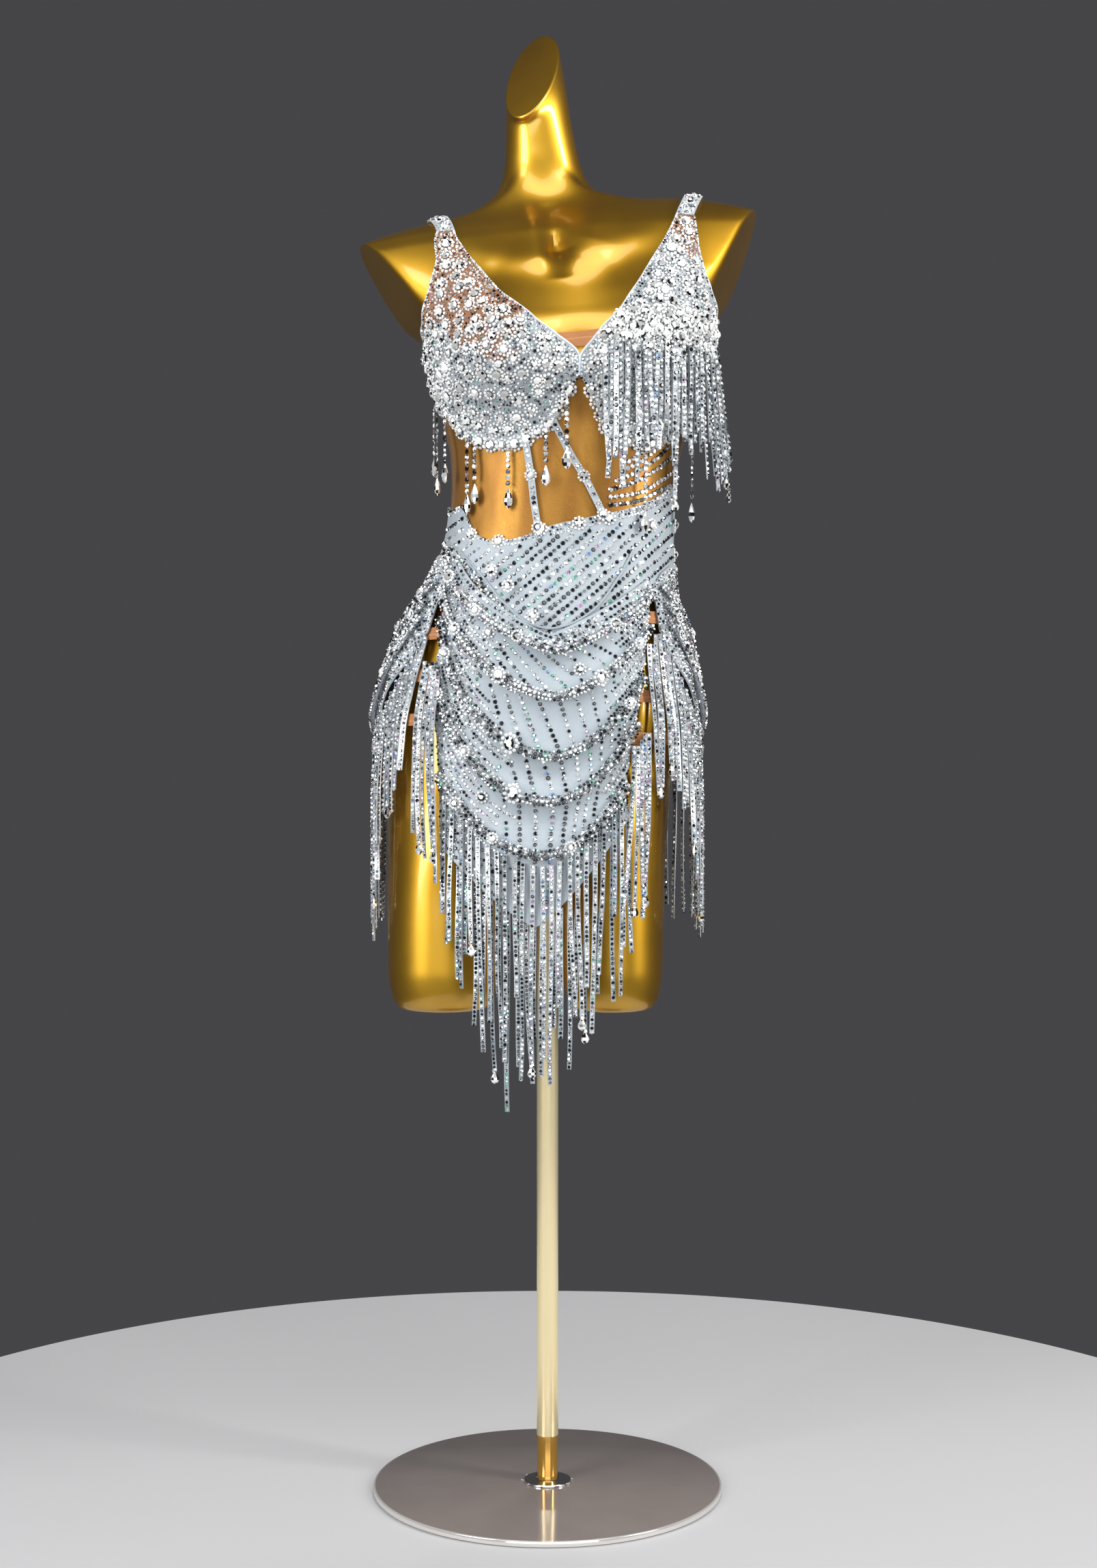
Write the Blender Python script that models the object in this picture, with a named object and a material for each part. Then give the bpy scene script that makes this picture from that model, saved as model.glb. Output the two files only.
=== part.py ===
"""Salsa dance dress on a limbless dress form with a pole and a round base.

Metres, +Z up, origin in the middle of the base's underside. The front faces -Y and +X is the
wearer's left. A place on the body is an angle and a height: 0 degrees is the front, 90 the
wearer's left side, 180 the back and 270 (or -90) the wearer's right side.
"""

import math
from types import SimpleNamespace

import bmesh
import bpy
from mathutils import Matrix, Vector
from mathutils.bvhtree import BVHTree

# Stand
SEAM = 0.0003  # gap between pieces that touch
PLATE_RADIUS = 0.178
PLATE_THICK = 0.006
PLATE_BEVEL = 0.001
POLE_RADIUS = 0.011
FLANGE_RADIUS = 0.024
FLANGE_THICK = 0.002
RECESS_RADIUS = POLE_RADIUS + 0.0005
RECESS_TOP = 0.790

# Layers, as distances out from the form's skin: (inner face, outer face)
MESH_LAYER = (0.0010, 0.0020)
CLOTH_LAYER = (0.0026, 0.0042)
TRIM_LAYER = (0.0052, 0.0066)
CLOTH_THICK = CLOTH_LAYER[1] - CLOTH_LAYER[0]
HIP_OUT = 0.0055  # inner face of the skirt's cloth where it leaves the yoke

# Trims
STRAP_WIDTH = 0.018
STRAP_BOW = 0.013
BAND_WIDTH = 0.007
ROPE_RADIUS = 0.0038
PIPING_RADIUS = 0.0024
TRIM_LIFT = 0.0008  # air under a rope, so that its straight stretches clear the cloth
ELASTIC_LAYER = (-0.0014, -0.0006)
ELASTIC_WIDTH = 0.012
BACKING_HEIGHT = 0.004
BACKING_THICK = 0.0014
STRIP_WIDTH = 0.0058

BODY_COLUMNS = (
    "height", "centre_x", "half_width", "front", "back", "widest_y", "roundness", "tilt_x", "tilt_y",
)
BODY_SECTIONS = (
    (0.735, -0.0190, 0.1480, -0.078, 0.098, 0.012, 2.30, 0.00, 0.00),
    (0.775, -0.0130, 0.1490, -0.083, 0.112, 0.012, 2.30, 0.00, 0.00),
    (0.815, -0.0088, 0.1472, -0.086, 0.117, 0.012, 2.25, 0.00, 0.00),
    (0.860, -0.0055, 0.1380, -0.087, 0.108, 0.010, 2.20, 0.00, 0.00),
    (0.905, -0.0010, 0.1275, -0.086, 0.090, 0.006, 2.15, 0.00, 0.00),
    (0.945, 0.0080, 0.1170, -0.084, 0.076, 0.002, 2.10, 0.00, 0.00),
    (0.980, 0.0130, 0.1125, -0.081, 0.068, 0.000, 2.10, 0.01, 0.00),
    (1.003, 0.0148, 0.1118, -0.079, 0.0643, 0.000, 2.10, 0.015, 0.00),
    (1.032, 0.0166, 0.1128, -0.078, 0.0636, 0.000, 2.10, 0.022, 0.00),
    (1.060, 0.0190, 0.1165, -0.080, 0.068, 0.001, 2.10, 0.03, 0.00),
    (1.080, 0.0202, 0.1217, -0.081, 0.072, 0.002, 2.10, 0.035, 0.00),
    (1.100, 0.0215, 0.1275, -0.083, 0.077, 0.003, 2.10, 0.04, 0.00),
    (1.120, 0.0224, 0.1340, -0.084, 0.081, 0.004, 2.12, 0.045, 0.00),
    (1.140, 0.0230, 0.1400, -0.084, 0.085, 0.006, 2.15, 0.05, 0.00),
    (1.157, 0.0228, 0.1434, -0.083, 0.088, 0.008, 2.17, 0.055, 0.00),
    (1.176, 0.0225, 0.1470, -0.082, 0.090, 0.010, 2.20, 0.06, 0.00),
    (1.190, 0.0205, 0.1600, -0.079, 0.091, 0.013, 2.25, 0.07, 0.00),
    (1.208, 0.0170, 0.1860, -0.075, 0.091, 0.016, 2.25, 0.08, 0.00),
    (1.230, 0.0140, 0.2060, -0.069, 0.090, 0.018, 2.25, 0.08, 0.00),
    (1.255, 0.0110, 0.2160, -0.059, 0.087, 0.021, 2.25, 0.085, 0.00),
    (1.275, 0.0095, 0.2180, -0.048, 0.082, 0.023, 2.25, 0.09, 0.00),
    (1.290, 0.0090, 0.2120, -0.037, 0.076, 0.025, 2.20, 0.092, 0.02),
    (1.301, 0.0080, 0.1850, -0.028, 0.069, 0.025, 2.15, 0.095, 0.05),
    (1.309, 0.0070, 0.1500, -0.021, 0.063, 0.024, 2.10, 0.10, 0.09),
    (1.3135, 0.0060, 0.1180, -0.017, 0.060, 0.024, 2.05, 0.105, 0.13),
    (1.317, 0.0045, 0.0920, -0.014, 0.058, 0.023, 2.00, 0.095, 0.18),
    (1.322, 0.0020, 0.0710, -0.012, 0.057, 0.022, 2.00, 0.06, 0.25),
    (1.3315, -0.0005, 0.0530, -0.010, 0.056, 0.022, 2.00, 0.02, 0.32),
    (1.348, -0.0035, 0.0425, -0.009, 0.054, 0.022, 2.00, 0.00, 0.42),
    (1.368, -0.0060, 0.0378, -0.009, 0.052, 0.021, 2.00, 0.02, 0.55),
    (1.395, -0.0090, 0.0342, -0.011, 0.050, 0.019, 2.00, 0.15, 0.70),
    (1.425, -0.0122, 0.0308, -0.014, 0.048, 0.016, 2.00, 0.45, 1.00),
    (1.450, -0.0155, 0.0275, -0.020, 0.049, 0.014, 2.00, 0.80, 1.42),
)

LEG_COLUMNS = (
    "height", "left_x", "left_half_width", "right_x", "right_half_width", "centre_y", "half_depth",
)
LEG_SECTIONS = (
    (0.489, 0.0665, 0.0520, -0.1060, 0.0585, -0.002, 0.058),
    (0.600, 0.0670, 0.0525, -0.1040, 0.0600, 0.000, 0.063),
    (0.700, 0.0690, 0.0550, -0.0950, 0.0700, 0.006, 0.078),
    (0.735, 0.0705, 0.0565, -0.0925, 0.0735, 0.010, 0.088),
)
# How far each ring of a thigh has turned from the split hip into an ellipse, and its size there
THIGH_RINGS = (
    # height, turned, size
    (0.722, 0.25, 1.000),
    (0.700, 0.55, 1.000),
    (0.665, 0.85, 1.000),
    (0.610, 1.00, 1.000),
    (0.550, 1.00, 1.000),
    (0.512, 1.00, 0.995),
    (0.498, 1.00, 0.955),
    (0.4905, 1.00, 0.870),
    (0.489, 1.00, 0.740),
)
FRONT_CELLS = 12  # of the form's ring, in each front quarter
BACK_CELLS = 6  # in each back quarter
ARCH_POINTS = 5  # between the thighs, from back to front
THIGH_OUTSIDE = 300  # degrees of a thigh's ring that carry on from the hip

BUST_CENTRE_X = 0.030
BUST_SPREAD = 0.078
BUST_HEIGHT = 1.150
BUST_PROUD = 0.044
BUST_WIDE = 0.047
BUST_ABOVE = 0.046
BUST_BELOW = 0.036
BUST_FADE = 0.4

# The flat cuts where the arms would be: tip and armpit in the front view
STUMPS = (
    # name, tip_x, tip_z, armpit_x, armpit_z
    ("right", -0.1990, 1.2840, -0.1300, 1.1720),
    ("left", 0.2180, 1.3170, 0.1760, 1.1960),
)
STUMP_Y = 0.025
STUMP_TURN = 0.22  # how much a cut faces forward
STUMP_BLOCK = 0.30

SKIRT_SECTIONS = (
    (0.480, -0.0105, 0.1650, -0.1000, 0.1270, 0.010, 2.20, 0.00, 0.00),
    (0.700, -0.0105, 0.1665, -0.1010, 0.1290, 0.010, 2.20, 0.00, 0.00),
    (0.775, -0.0100, 0.1635, -0.1010, 0.1300, 0.010, 2.20, 0.00, 0.00),
    (0.815, -0.0085, 0.1560, -0.1000, 0.1270, 0.010, 2.20, 0.00, 0.00),
    (0.860, -0.0050, 0.1455, -0.0980, 0.1170, 0.009, 2.20, 0.00, 0.00),
    (0.905, -0.0010, 0.1350, -0.0950, 0.0985, 0.006, 2.15, 0.00, 0.00),
    (0.945, 0.0080, 0.1235, -0.0915, 0.0840, 0.002, 2.10, 0.00, 0.00),
    (0.980, 0.0130, 0.1190, -0.0885, 0.0755, 0.000, 2.10, 0.01, 0.00),
    (1.020, 0.0155, 0.1185, -0.0855, 0.0705, 0.000, 2.10, 0.02, 0.00),
)

# Outlines of the cups as (angle, height), each from the shoulder down or from the side in
RIGHT_CUP = SimpleNamespace(
    outer=(
        (-32.7, 1.2855), (-32.8, 1.2566), (-36.8, 1.2314), (-41.7, 1.2160), (-53.6, 1.1974),
        (-69.5, 1.1839), (-80.0, 1.1750), (-89.8, 1.1700), (-89.8, 1.1080),
    ),
    neckline=(
        (-27.7, 1.2843), (-25.1, 1.2629), (-21.1, 1.2275), (-19.0, 1.1984), (-14.9, 1.1772),
        (-6.4, 1.1594), (3.4, 1.1357), (3.4, 1.1206),
    ),
    bottom=(
        (-89.8, 1.1080), (-77.8, 1.1040), (-65.3, 1.0905), (-57.6, 1.0728), (-45.9, 1.0612),
        (-34.3, 1.0543), (-23.0, 1.0546), (-17.5, 1.0606), (-8.6, 1.0729), (-1.8, 1.1011),
        (1.7, 1.1121), (3.4, 1.1206),
    ),
)
LEFT_CUP = SimpleNamespace(
    outer=(
        (37.6, 1.2765), (38.4, 1.2476), (41.8, 1.2225), (50.8, 1.2018), (61.9, 1.1910),
        (72.0, 1.1820), (82.0, 1.1740), (89.8, 1.1700), (89.8, 1.1080),
    ),
    neckline=(
        (32.5, 1.2809), (28.4, 1.2535), (24.6, 1.2277), (22.2, 1.2013), (19.4, 1.1800),
        (13.4, 1.1649), (8.8, 1.1518), (3.7, 1.1357), (3.7, 1.1206),
    ),
    bottom=(
        (89.8, 1.1080), (79.0, 1.0923), (65.2, 1.0728), (51.7, 1.0577), (37.9, 1.0529),
        (23.8, 1.0587), (15.7, 1.0748), (11.6, 1.0970), (8.1, 1.1066), (5.3, 1.1160),
        (3.7, 1.1206),
    ),
)

# Panels that go round the body, as their top and bottom edges
EDGE_COLUMNS = ("angle", "top", "bottom")
BODICE_BACK_EDGES = (
    (90, 1.170, 1.108), (110, 1.165, 1.100), (130, 1.164, 1.094), (149, 1.172, 1.090),
    (165, 1.150, 1.088), (180, 1.140, 1.088), (195, 1.150, 1.088), (211, 1.172, 1.090),
    (230, 1.164, 1.094), (250, 1.165, 1.100), (270, 1.170, 1.108),
)
MIDRIFF_FRONT_EDGES = (
    (-90.0, 1.1130, 0.999), (-77.8, 1.1090, 0.995), (-65.3, 1.0960, 0.993), (-57.6, 1.0785, 0.992),
    (-45.9, 1.0665, 0.964), (-34.3, 1.0595, 0.955), (-23.0, 1.0600, 0.955), (-17.5, 1.0660, 0.958),
    (-8.6, 1.0785, 0.966), (-1.8, 1.1050, 0.971), (3.5, 1.1230, 0.973), (8.1, 1.1090, 0.974),
    (11.6, 1.1000, 0.976), (15.7, 1.0790, 0.978), (23.8, 1.0645, 0.981), (37.9, 1.0585, 0.989),
    (51.7, 1.0635, 0.998), (65.2, 1.0785, 1.009), (79.0, 1.0975, 1.021), (90.0, 1.1130, 1.029),
)
MIDRIFF_BACK_EDGES = (
    (90, 1.1130, 1.029), (120, 1.102, 1.011), (180, 1.094, 0.992), (240, 1.102, 0.992),
    (270, 1.1130, 0.999),
)
YOKE_FRONT_EDGES = (
    (-90.0, 1.0050, 0.932), (-73.7, 0.9987, 0.936), (-59.6, 1.0004, 0.942), (-51.6, 0.9828, 0.938),
    (-44.6, 0.9691, 0.930), (-32.6, 0.9607, 0.916), (-23.7, 0.9614, 0.900), (-12.7, 0.9677, 0.878),
    (-4.9, 0.9742, 0.866), (2.8, 0.9780, 0.861), (8.8, 0.9802, 0.864), (17.9, 0.9848, 0.880),
    (27.9, 0.9890, 0.903), (39.3, 0.9951, 0.914), (56.0, 1.0078, 0.922), (75.0, 1.0249, 0.930),
    (90.0, 1.0350, 0.932),
)
YOKE_BACK_EDGES = (
    (90, 1.0350, 0.932), (120, 1.017, 0.930), (180, 0.998, 0.928), (240, 0.998, 0.930),
    (270, 1.0050, 0.932),
)
NECKLINE_ELASTIC_EDGES = (
    (-4.5, 1.1565, 1.1440), (3.8, 1.1620, 1.1465), (8.6, 1.1590, 1.1460),
)

# Narrow bands over the bare midriff, as the (angle, height) of their middle line
BANDS = (
    ("band_inner", ((-20.5, 1.0665), (-16.8, 1.0317), (-13.8, 0.9973), (-9.6, 0.9640))),
    ("band_outer", ((-9.6, 1.0900), (-0.5, 1.0552), (10.4, 1.0215), (18.2, 0.9945), (21.5, 0.9820))),
)

# The apron's swags from the cowl (row 0) to the hem (row 6)
SWAG_COLUMNS = (
    "row", "right_angle", "right_height", "right_power", "low_angle", "low_height", "left_angle",
    "left_height", "left_power",
)
APRON_SWAGS = (
    (0, -60.0, 0.9580, 1.15, 3.0, 0.8670, 48.5, 0.9250, 1.10),
    (1, -57.0, 0.9460, 1.45, 7.0, 0.8500, 47.8, 0.9100, 1.20),
    (2, -47.5, 0.9120, 1.80, 7.6, 0.8050, 44.3, 0.8759, 1.40),
    (3, -43.5, 0.8840, 2.00, 5.9, 0.7470, 39.6, 0.8247, 1.60),
    (4, -40.8, 0.8380, 2.20, 4.5, 0.7030, 34.9, 0.7793, 1.80),
    (5, -34.2, 0.7300, 2.00, 2.2, 0.6505, 31.0, 0.7200, 1.80),
    (6, -33.5, 0.6600, 1.25, -0.5, 0.5800, 32.0, 0.6880, 1.25),
)
APRON_FOLD = 0.0028
SKIRT_EASE_ROWS = 1.0  # rows over which the apron leaves the yoke

# The piece that goes round the back, from slit to slit
BACK_SKIRT_EDGES = (
    (51, 0.9130, 0.872), (60, 0.9330, 0.838), (74, 0.9420, 0.794), (90, 0.9440, 0.760),
    (125, 0.9420, 0.728), (180, 0.9400, 0.712), (235, 0.9420, 0.728), (270, 0.9450, 0.757),
    (286, 0.9500, 0.790), (298, 0.9460, 0.830), (305, 0.9280, 0.852), (310, 0.9120, 0.872),
)
BACK_SKIRT_WAVES = 8
BACK_SKIRT_WAVE_OUT = 0.0050
BACK_SWAG_COLUMNS = ("row", "end_height", "low_height")
BACK_SWAGS = ((1, 0.920, 0.812), (2, 0.902, 0.776), (3, 0.886, 0.742))
BACK_SWAG_ENDS = (56, 304)
BACK_SWAG_POWER = 3.0

# Elastics that bridge the slits: side, height, angle of the apron's end, angle of the drape's end
SLIT_ELASTICS = (
    ("right", 0.870, -40.5, -54.0),
    ("right", 0.828, -38.5, -54.0),
    ("right", 0.784, -37.3, -56.0),
    ("left", 0.886, 41.5, 54.0),
    ("left", 0.807, 33.5, 55.0),
    ("left", 0.765, 29.0, 56.0),
)

# Fringe ends, as the height they reach
APRON_ENDS = (
    # x, end
    (-0.110, 0.605), (-0.100, 0.560), (-0.090, 0.540), (-0.068, 0.514), (-0.045, 0.474),
    (-0.015, 0.452), (0.008, 0.456), (0.030, 0.490), (0.052, 0.512), (0.066, 0.542), (0.090, 0.590),
)
BACK_SKIRT_ENDS = (
    # angle, end
    (51, 0.722), (60, 0.690), (70, 0.640), (80, 0.592), (90, 0.574), (120, 0.580), (180, 0.590),
    (240, 0.580), (270, 0.572), (280, 0.590), (290, 0.650), (300, 0.700), (310, 0.735),
)
BODICE_ENDS = (
    # angle, end
    (13, 1.040), (20, 1.012), (28, 0.998), (36, 1.020), (46, 1.000), (56, 1.012), (68, 1.022),
    (82, 1.038),
)
# Strips beside the slits: how far they stand off the apron's folds, to clear its ropes, then where
# the first and last ones start and end, as (angle, height)
FRINGE_TABS = (
    ("fringe_tab_right", 0.0080, (-44.2, 0.836), (-35.0, 0.815), (-42.4, 0.668), (-33.4, 0.634)),
    ("fringe_tab_left", 0.0, (32.8, 0.748), (40.2, 0.765), (30.6, 0.592), (39.0, 0.604)),
)

# Jewel drops under the cups: angle of the chain, height that it reaches
DROPS = (
    ("drops_right", RIGHT_CUP.bottom, (
        (-83.0, 1.012), (-72.0, 1.014), (-52.0, 0.992), (-31.0, 0.986), (-8.5, 1.014),
    )),
    ("drops_left", LEFT_CUP.bottom, ((40.0, 0.970), (72.0, 0.986))),
)


class Table:
    """Rows of numbers under named columns, read as smooth curves along the first column."""

    def __init__(self, columns, rows):
        self.columns = columns
        self.rows = rows
        self.slopes = [self.slope(i) for i in range(len(rows))]

    def rise(self, i):
        """The slope of each column between rows i and i + 1."""
        lower, upper = self.rows[i], self.rows[i + 1]
        return [(b - a) / (upper[0] - lower[0]) for a, b in zip(lower, upper)]

    def slope(self, i):
        """The harmonic mean of the slopes beside a row, so that no curve overshoots its rows."""
        if i in (0, len(self.rows) - 1):
            return self.rise(min(i, len(self.rows) - 2))
        before, after = self.rise(i - 1), self.rise(i)
        return [2 * a * b / (a + b) if a * b > 0 else 0.0 for a, b in zip(before, after)]

    def at(self, key):
        key = min(max(key, self.rows[0][0]), self.rows[-1][0])
        i = next(i for i in range(len(self.rows) - 1) if key <= self.rows[i + 1][0])
        step = self.rows[i + 1][0] - self.rows[i][0]
        t = (key - self.rows[i][0]) / step
        weights = (
            2 * t**3 - 3 * t**2 + 1,
            (t**3 - 2 * t**2 + t) * step,
            3 * t**2 - 2 * t**3,
            (t**3 - t**2) * step,
        )
        parts = zip(self.rows[i], self.slopes[i], self.rows[i + 1], self.slopes[i + 1])
        values = [sum(w * p for w, p in zip(weights, part)) for part in parts]
        return SimpleNamespace(**dict(zip(self.columns, values)))


BODY = Table(BODY_COLUMNS, BODY_SECTIONS)
SKIRT = Table(BODY_COLUMNS, SKIRT_SECTIONS)
LEGS = Table(LEG_COLUMNS, LEG_SECTIONS)
SWAGS = Table(SWAG_COLUMNS, APRON_SWAGS)
BACK_SKIRT = Table(EDGE_COLUMNS, BACK_SKIRT_EDGES)


def smoothstep(t):
    t = min(max(t, 0.0), 1.0)
    return t * t * (3 - 2 * t)


def mix(a, b, t):
    return a + (b - a) * t


def route(points):
    """A smooth line through (angle, height) points, read from 0 to 1 along its length."""
    metres_per_degree = 0.0022
    along = [0.0]
    for (a, b), (c, d) in zip(points, points[1:]):
        along.append(along[-1] + math.hypot((c - a) * metres_per_degree, d - b))
    rows = [(s / along[-1], *point) for s, point in zip(along, points)]
    table = Table(("along", "angle", "height"), rows)
    return lambda t: Vector((table.at(t).angle, table.at(t).height))


# Surfaces

def ring_point(section, angle):
    """A point of a squarish oval: half_width to the sides, front and back from its widest line."""
    side, ahead = math.sin(math.radians(angle)), math.cos(math.radians(angle))
    power = section.roundness
    stretch = (abs(side) ** power + abs(ahead) ** power) ** (-1 / power)
    reach = section.widest_y - section.front if ahead > 0 else section.back - section.widest_y
    x = section.centre_x + section.half_width * side * stretch
    return x, section.widest_y - reach * ahead * stretch


def bust(x, height, ahead):
    """How far the bust stands forward of the plain section."""
    tall = BUST_ABOVE if height > BUST_HEIGHT else BUST_BELOW
    down = math.exp(-0.5 * ((height - BUST_HEIGHT) / tall) ** 2)
    centres = (BUST_CENTRE_X - BUST_SPREAD, BUST_CENTRE_X + BUST_SPREAD)
    across = sum(math.exp(-0.5 * ((x - centre) / BUST_WIDE) ** 2) for centre in centres)
    return BUST_PROUD * down * across * smoothstep(ahead / BUST_FADE)


def on_body(angle, height):
    section = BODY.at(height)
    x, y = ring_point(section, angle)
    y -= bust(x, height, math.cos(math.radians(angle)))
    z = height + section.tilt_x * (x - section.centre_x) + section.tilt_y * (y - section.widest_y)
    return Vector((x, y, z))


def on_skirt(angle, height):
    section = SKIRT.at(height)
    x, y = ring_point(section, angle)
    return Vector((x, y, height + section.tilt_x * (x - section.centre_x)))


def moved_out(surface, angle, height, distance):
    degrees, rise = 0.5, 0.001
    across = surface(angle + degrees, height) - surface(angle - degrees, height)
    up = surface(angle, height + rise) - surface(angle, height - rise)
    return surface(angle, height) + across.cross(up).normalized() * distance


# Meshes and materials

def material(name, colour, roughness, metallic=0.0, coat=0.0):
    made = bpy.data.materials.new(name)
    made.use_nodes = True
    shader = made.node_tree.nodes["Principled BSDF"]
    shader.inputs["Base Color"].default_value = (*colour, 1)
    shader.inputs["Roughness"].default_value = roughness
    shader.inputs["Metallic"].default_value = metallic
    shader.inputs["Coat Weight"].default_value = coat
    made.diffuse_color = (*colour, 1)
    return made


def add_object(name, bm, look, crease=40):
    mesh = bpy.data.meshes.new(name)
    bm.to_mesh(mesh)
    bm.free()
    mesh.shade_smooth()
    mesh.set_sharp_from_angle(angle=math.radians(crease))
    mesh.materials.append(look)
    made = bpy.data.objects.new(name, mesh)
    bpy.context.scene.collection.objects.link(made)
    return made


def bridge(bm, lower, upper):
    """Faces between two closed rings that run anticlockwise seen from above."""
    count = len(lower)
    for i in range(count):
        j = (i + 1) % count
        bm.faces.new((lower[i], lower[j], upper[j], upper[i]))


def cut_from(target, cutter):
    cutter.hide_render = True
    cutter.display_type = "WIRE"
    modifier = target.modifiers.new(cutter.name, "BOOLEAN")
    modifier.operation = "DIFFERENCE"
    modifier.object = cutter


def wall(name, at, columns, rows, layer, look):
    """A cloth wall. at(u, v, out) gives its points: u goes round, v down, out away from the body."""
    bm = bmesh.new()
    faces = []
    for out in layer:
        grid = [
            [bm.verts.new(at(i / columns, j / rows, out)) for i in range(columns + 1)]
            for j in range(rows + 1)
        ]
        faces.append(grid)
    inner, outer = faces
    for j in range(rows):
        for i in range(columns):
            bm.faces.new((outer[j + 1][i], outer[j + 1][i + 1], outer[j][i + 1], outer[j][i]))
            bm.faces.new((inner[j][i], inner[j][i + 1], inner[j + 1][i + 1], inner[j + 1][i]))
    for i in range(columns):
        bm.faces.new((outer[0][i], outer[0][i + 1], inner[0][i + 1], inner[0][i]))
        bm.faces.new((inner[-1][i], inner[-1][i + 1], outer[-1][i + 1], outer[-1][i]))
    for j in range(rows):
        bm.faces.new((inner[j][0], inner[j + 1][0], outer[j + 1][0], outer[j][0]))
        bm.faces.new((outer[j][-1], outer[j + 1][-1], inner[j + 1][-1], inner[j][-1]))
    return add_object(name, bm, look)


def tube(name, points, radius, look):
    """A six-sided cord through points."""
    curve = bpy.data.curves.new(name, "CURVE")
    curve.dimensions = "3D"
    curve.bevel_depth = radius
    curve.bevel_resolution = 1
    curve.use_fill_caps = True
    spline = curve.splines.new("POLY")
    spline.points.add(len(points) - 1)
    for point, place in zip(spline.points, points):
        point.co = (*place, 1)
    spline.use_smooth = True
    curve.materials.append(look)
    made = bpy.data.objects.new(name, curve)
    bpy.context.scene.collection.objects.link(made)
    return made


# Dress form and stand

def ring_angles():
    front = [90 * i / FRONT_CELLS for i in range(FRONT_CELLS)]
    back = [90 + 90 * i / BACK_CELLS for i in range(2 * BACK_CELLS)]
    return front + back + [270 + angle for angle in front]


def thigh(bm, loop, side, bottom_up):
    """Carries a loop of the split hip down as a thigh, turning it into an ellipse."""
    outside = len(loop) - ARCH_POINTS
    start = (360 - THIGH_OUTSIDE) / 2
    first = -start if side == "left" else 180 - start
    turns = [first + THIGH_OUTSIDE * i / (outside - 1) for i in range(outside)]
    inside = 360 - THIGH_OUTSIDE
    turns += [turns[-1] + inside * (i + 1) / (ARCH_POINTS + 1) for i in range(ARCH_POINTS)]
    hip = [vert.co.copy() for vert in loop]
    upper = loop
    for height, turned, size in bottom_up:
        section = LEGS.at(height)
        x = getattr(section, side + "_x")
        half_width = getattr(section, side + "_half_width") * size
        lower = []
        for place, turn in zip(hip, turns):
            oval = Vector((
                x + half_width * math.sin(math.radians(turn)),
                section.centre_y - section.half_depth * size * math.cos(math.radians(turn)),
            ))
            lower.append(bm.verts.new((*mix(place.xy, oval, turned), height)))
        bridge(bm, lower, upper)
        upper = lower
    bm.faces.new(reversed(upper))


def form_mesh():
    bm = bmesh.new()
    angles = ring_angles()
    rings = [
        [bm.verts.new(on_body(angle, section[0])) for angle in angles] for section in BODY_SECTIONS
    ]
    for lower, upper in zip(rings, rings[1:]):
        bridge(bm, lower, upper)
    bm.faces.new(rings[-1])
    hip = rings[0]
    back = FRONT_CELLS + BACK_CELLS
    arch = []
    for i in range(ARCH_POINTS):
        share = (i + 1) / (ARCH_POINTS + 1)
        arch.append(bm.verts.new(mix(hip[back].co, hip[0].co, share)))
    shift = -hip[0].co.x
    for vert in (hip[0], hip[back], *arch):
        vert.co.x += shift
    thigh(bm, hip[: back + 1] + arch, "left", THIGH_RINGS)
    thigh(bm, hip[back:] + [hip[0]] + arch[::-1], "right", THIGH_RINGS)
    return bm


def stump_cutter(side, tip_x, tip_z, armpit_x, armpit_z):
    """A block whose inner face is the flat cut of one arm."""
    tip, armpit = Vector((tip_x, STUMP_Y, tip_z)), Vector((armpit_x, STUMP_Y, armpit_z))
    up = (tip - armpit).normalized()
    sideways = Vector((math.copysign(1, tip_x), 0, 0))
    flat_out = (sideways - up * sideways.dot(up)).normalized()
    facing = (flat_out + Vector((0, -STUMP_TURN, 0))).normalized()
    bm = bmesh.new()
    bmesh.ops.create_cube(bm, size=STUMP_BLOCK)
    axes = Matrix((facing, up.cross(facing), up)).transposed().to_4x4()
    centre = armpit + (facing + up) * STUMP_BLOCK / 2
    bmesh.ops.transform(bm, matrix=Matrix.Translation(centre) @ axes, verts=bm.verts)
    return add_object(f"stump_cutter_{side}", bm, MATERIALS.gold)


def cylinder(name, radius, bottom, top, sides, look, bevel=0.0):
    bm = bmesh.new()
    bmesh.ops.create_cone(
        bm, cap_ends=True, segments=sides, radius1=radius, radius2=radius, depth=top - bottom
    )
    bmesh.ops.translate(bm, vec=(0, 0, (bottom + top) / 2), verts=bm.verts)
    made = add_object(name, bm, look)
    if bevel:
        rounding = made.modifiers.new("rounding", "BEVEL")
        rounding.width = bevel
        rounding.segments = 1
        rounding.angle_limit = math.radians(60)
        rounding.limit_method = "ANGLE"
    return made


def build_stand():
    pole_bottom = PLATE_THICK + SEAM
    cylinder("base_plate", PLATE_RADIUS, 0, PLATE_THICK, 56, MATERIALS.mirror, PLATE_BEVEL)
    cylinder("pole", POLE_RADIUS, pole_bottom, RECESS_TOP - SEAM, 24, MATERIALS.gold)
    flange = cylinder(
        "base_flange", FLANGE_RADIUS, pole_bottom, pole_bottom + FLANGE_THICK, 32, MATERIALS.chrome
    )
    hole = cylinder("flange_hole", POLE_RADIUS + SEAM, 0, 0.05, 32, MATERIALS.chrome)
    cut_from(flange, hole)


def build_form():
    """The form, and a tree of its skin before the arms are cut off."""
    bm = form_mesh()
    skin = BVHTree.FromBMesh(bm)
    form = add_object("form", bm, MATERIALS.gold, crease=50)
    for stump in STUMPS:
        cut_from(form, stump_cutter(*stump))
    recess = cylinder("pole_recess", RECESS_RADIUS, 0.60, RECESS_TOP, 24, MATERIALS.gold)
    cut_from(form, recess)
    return skin


# Bodice, midriff and yoke

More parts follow.
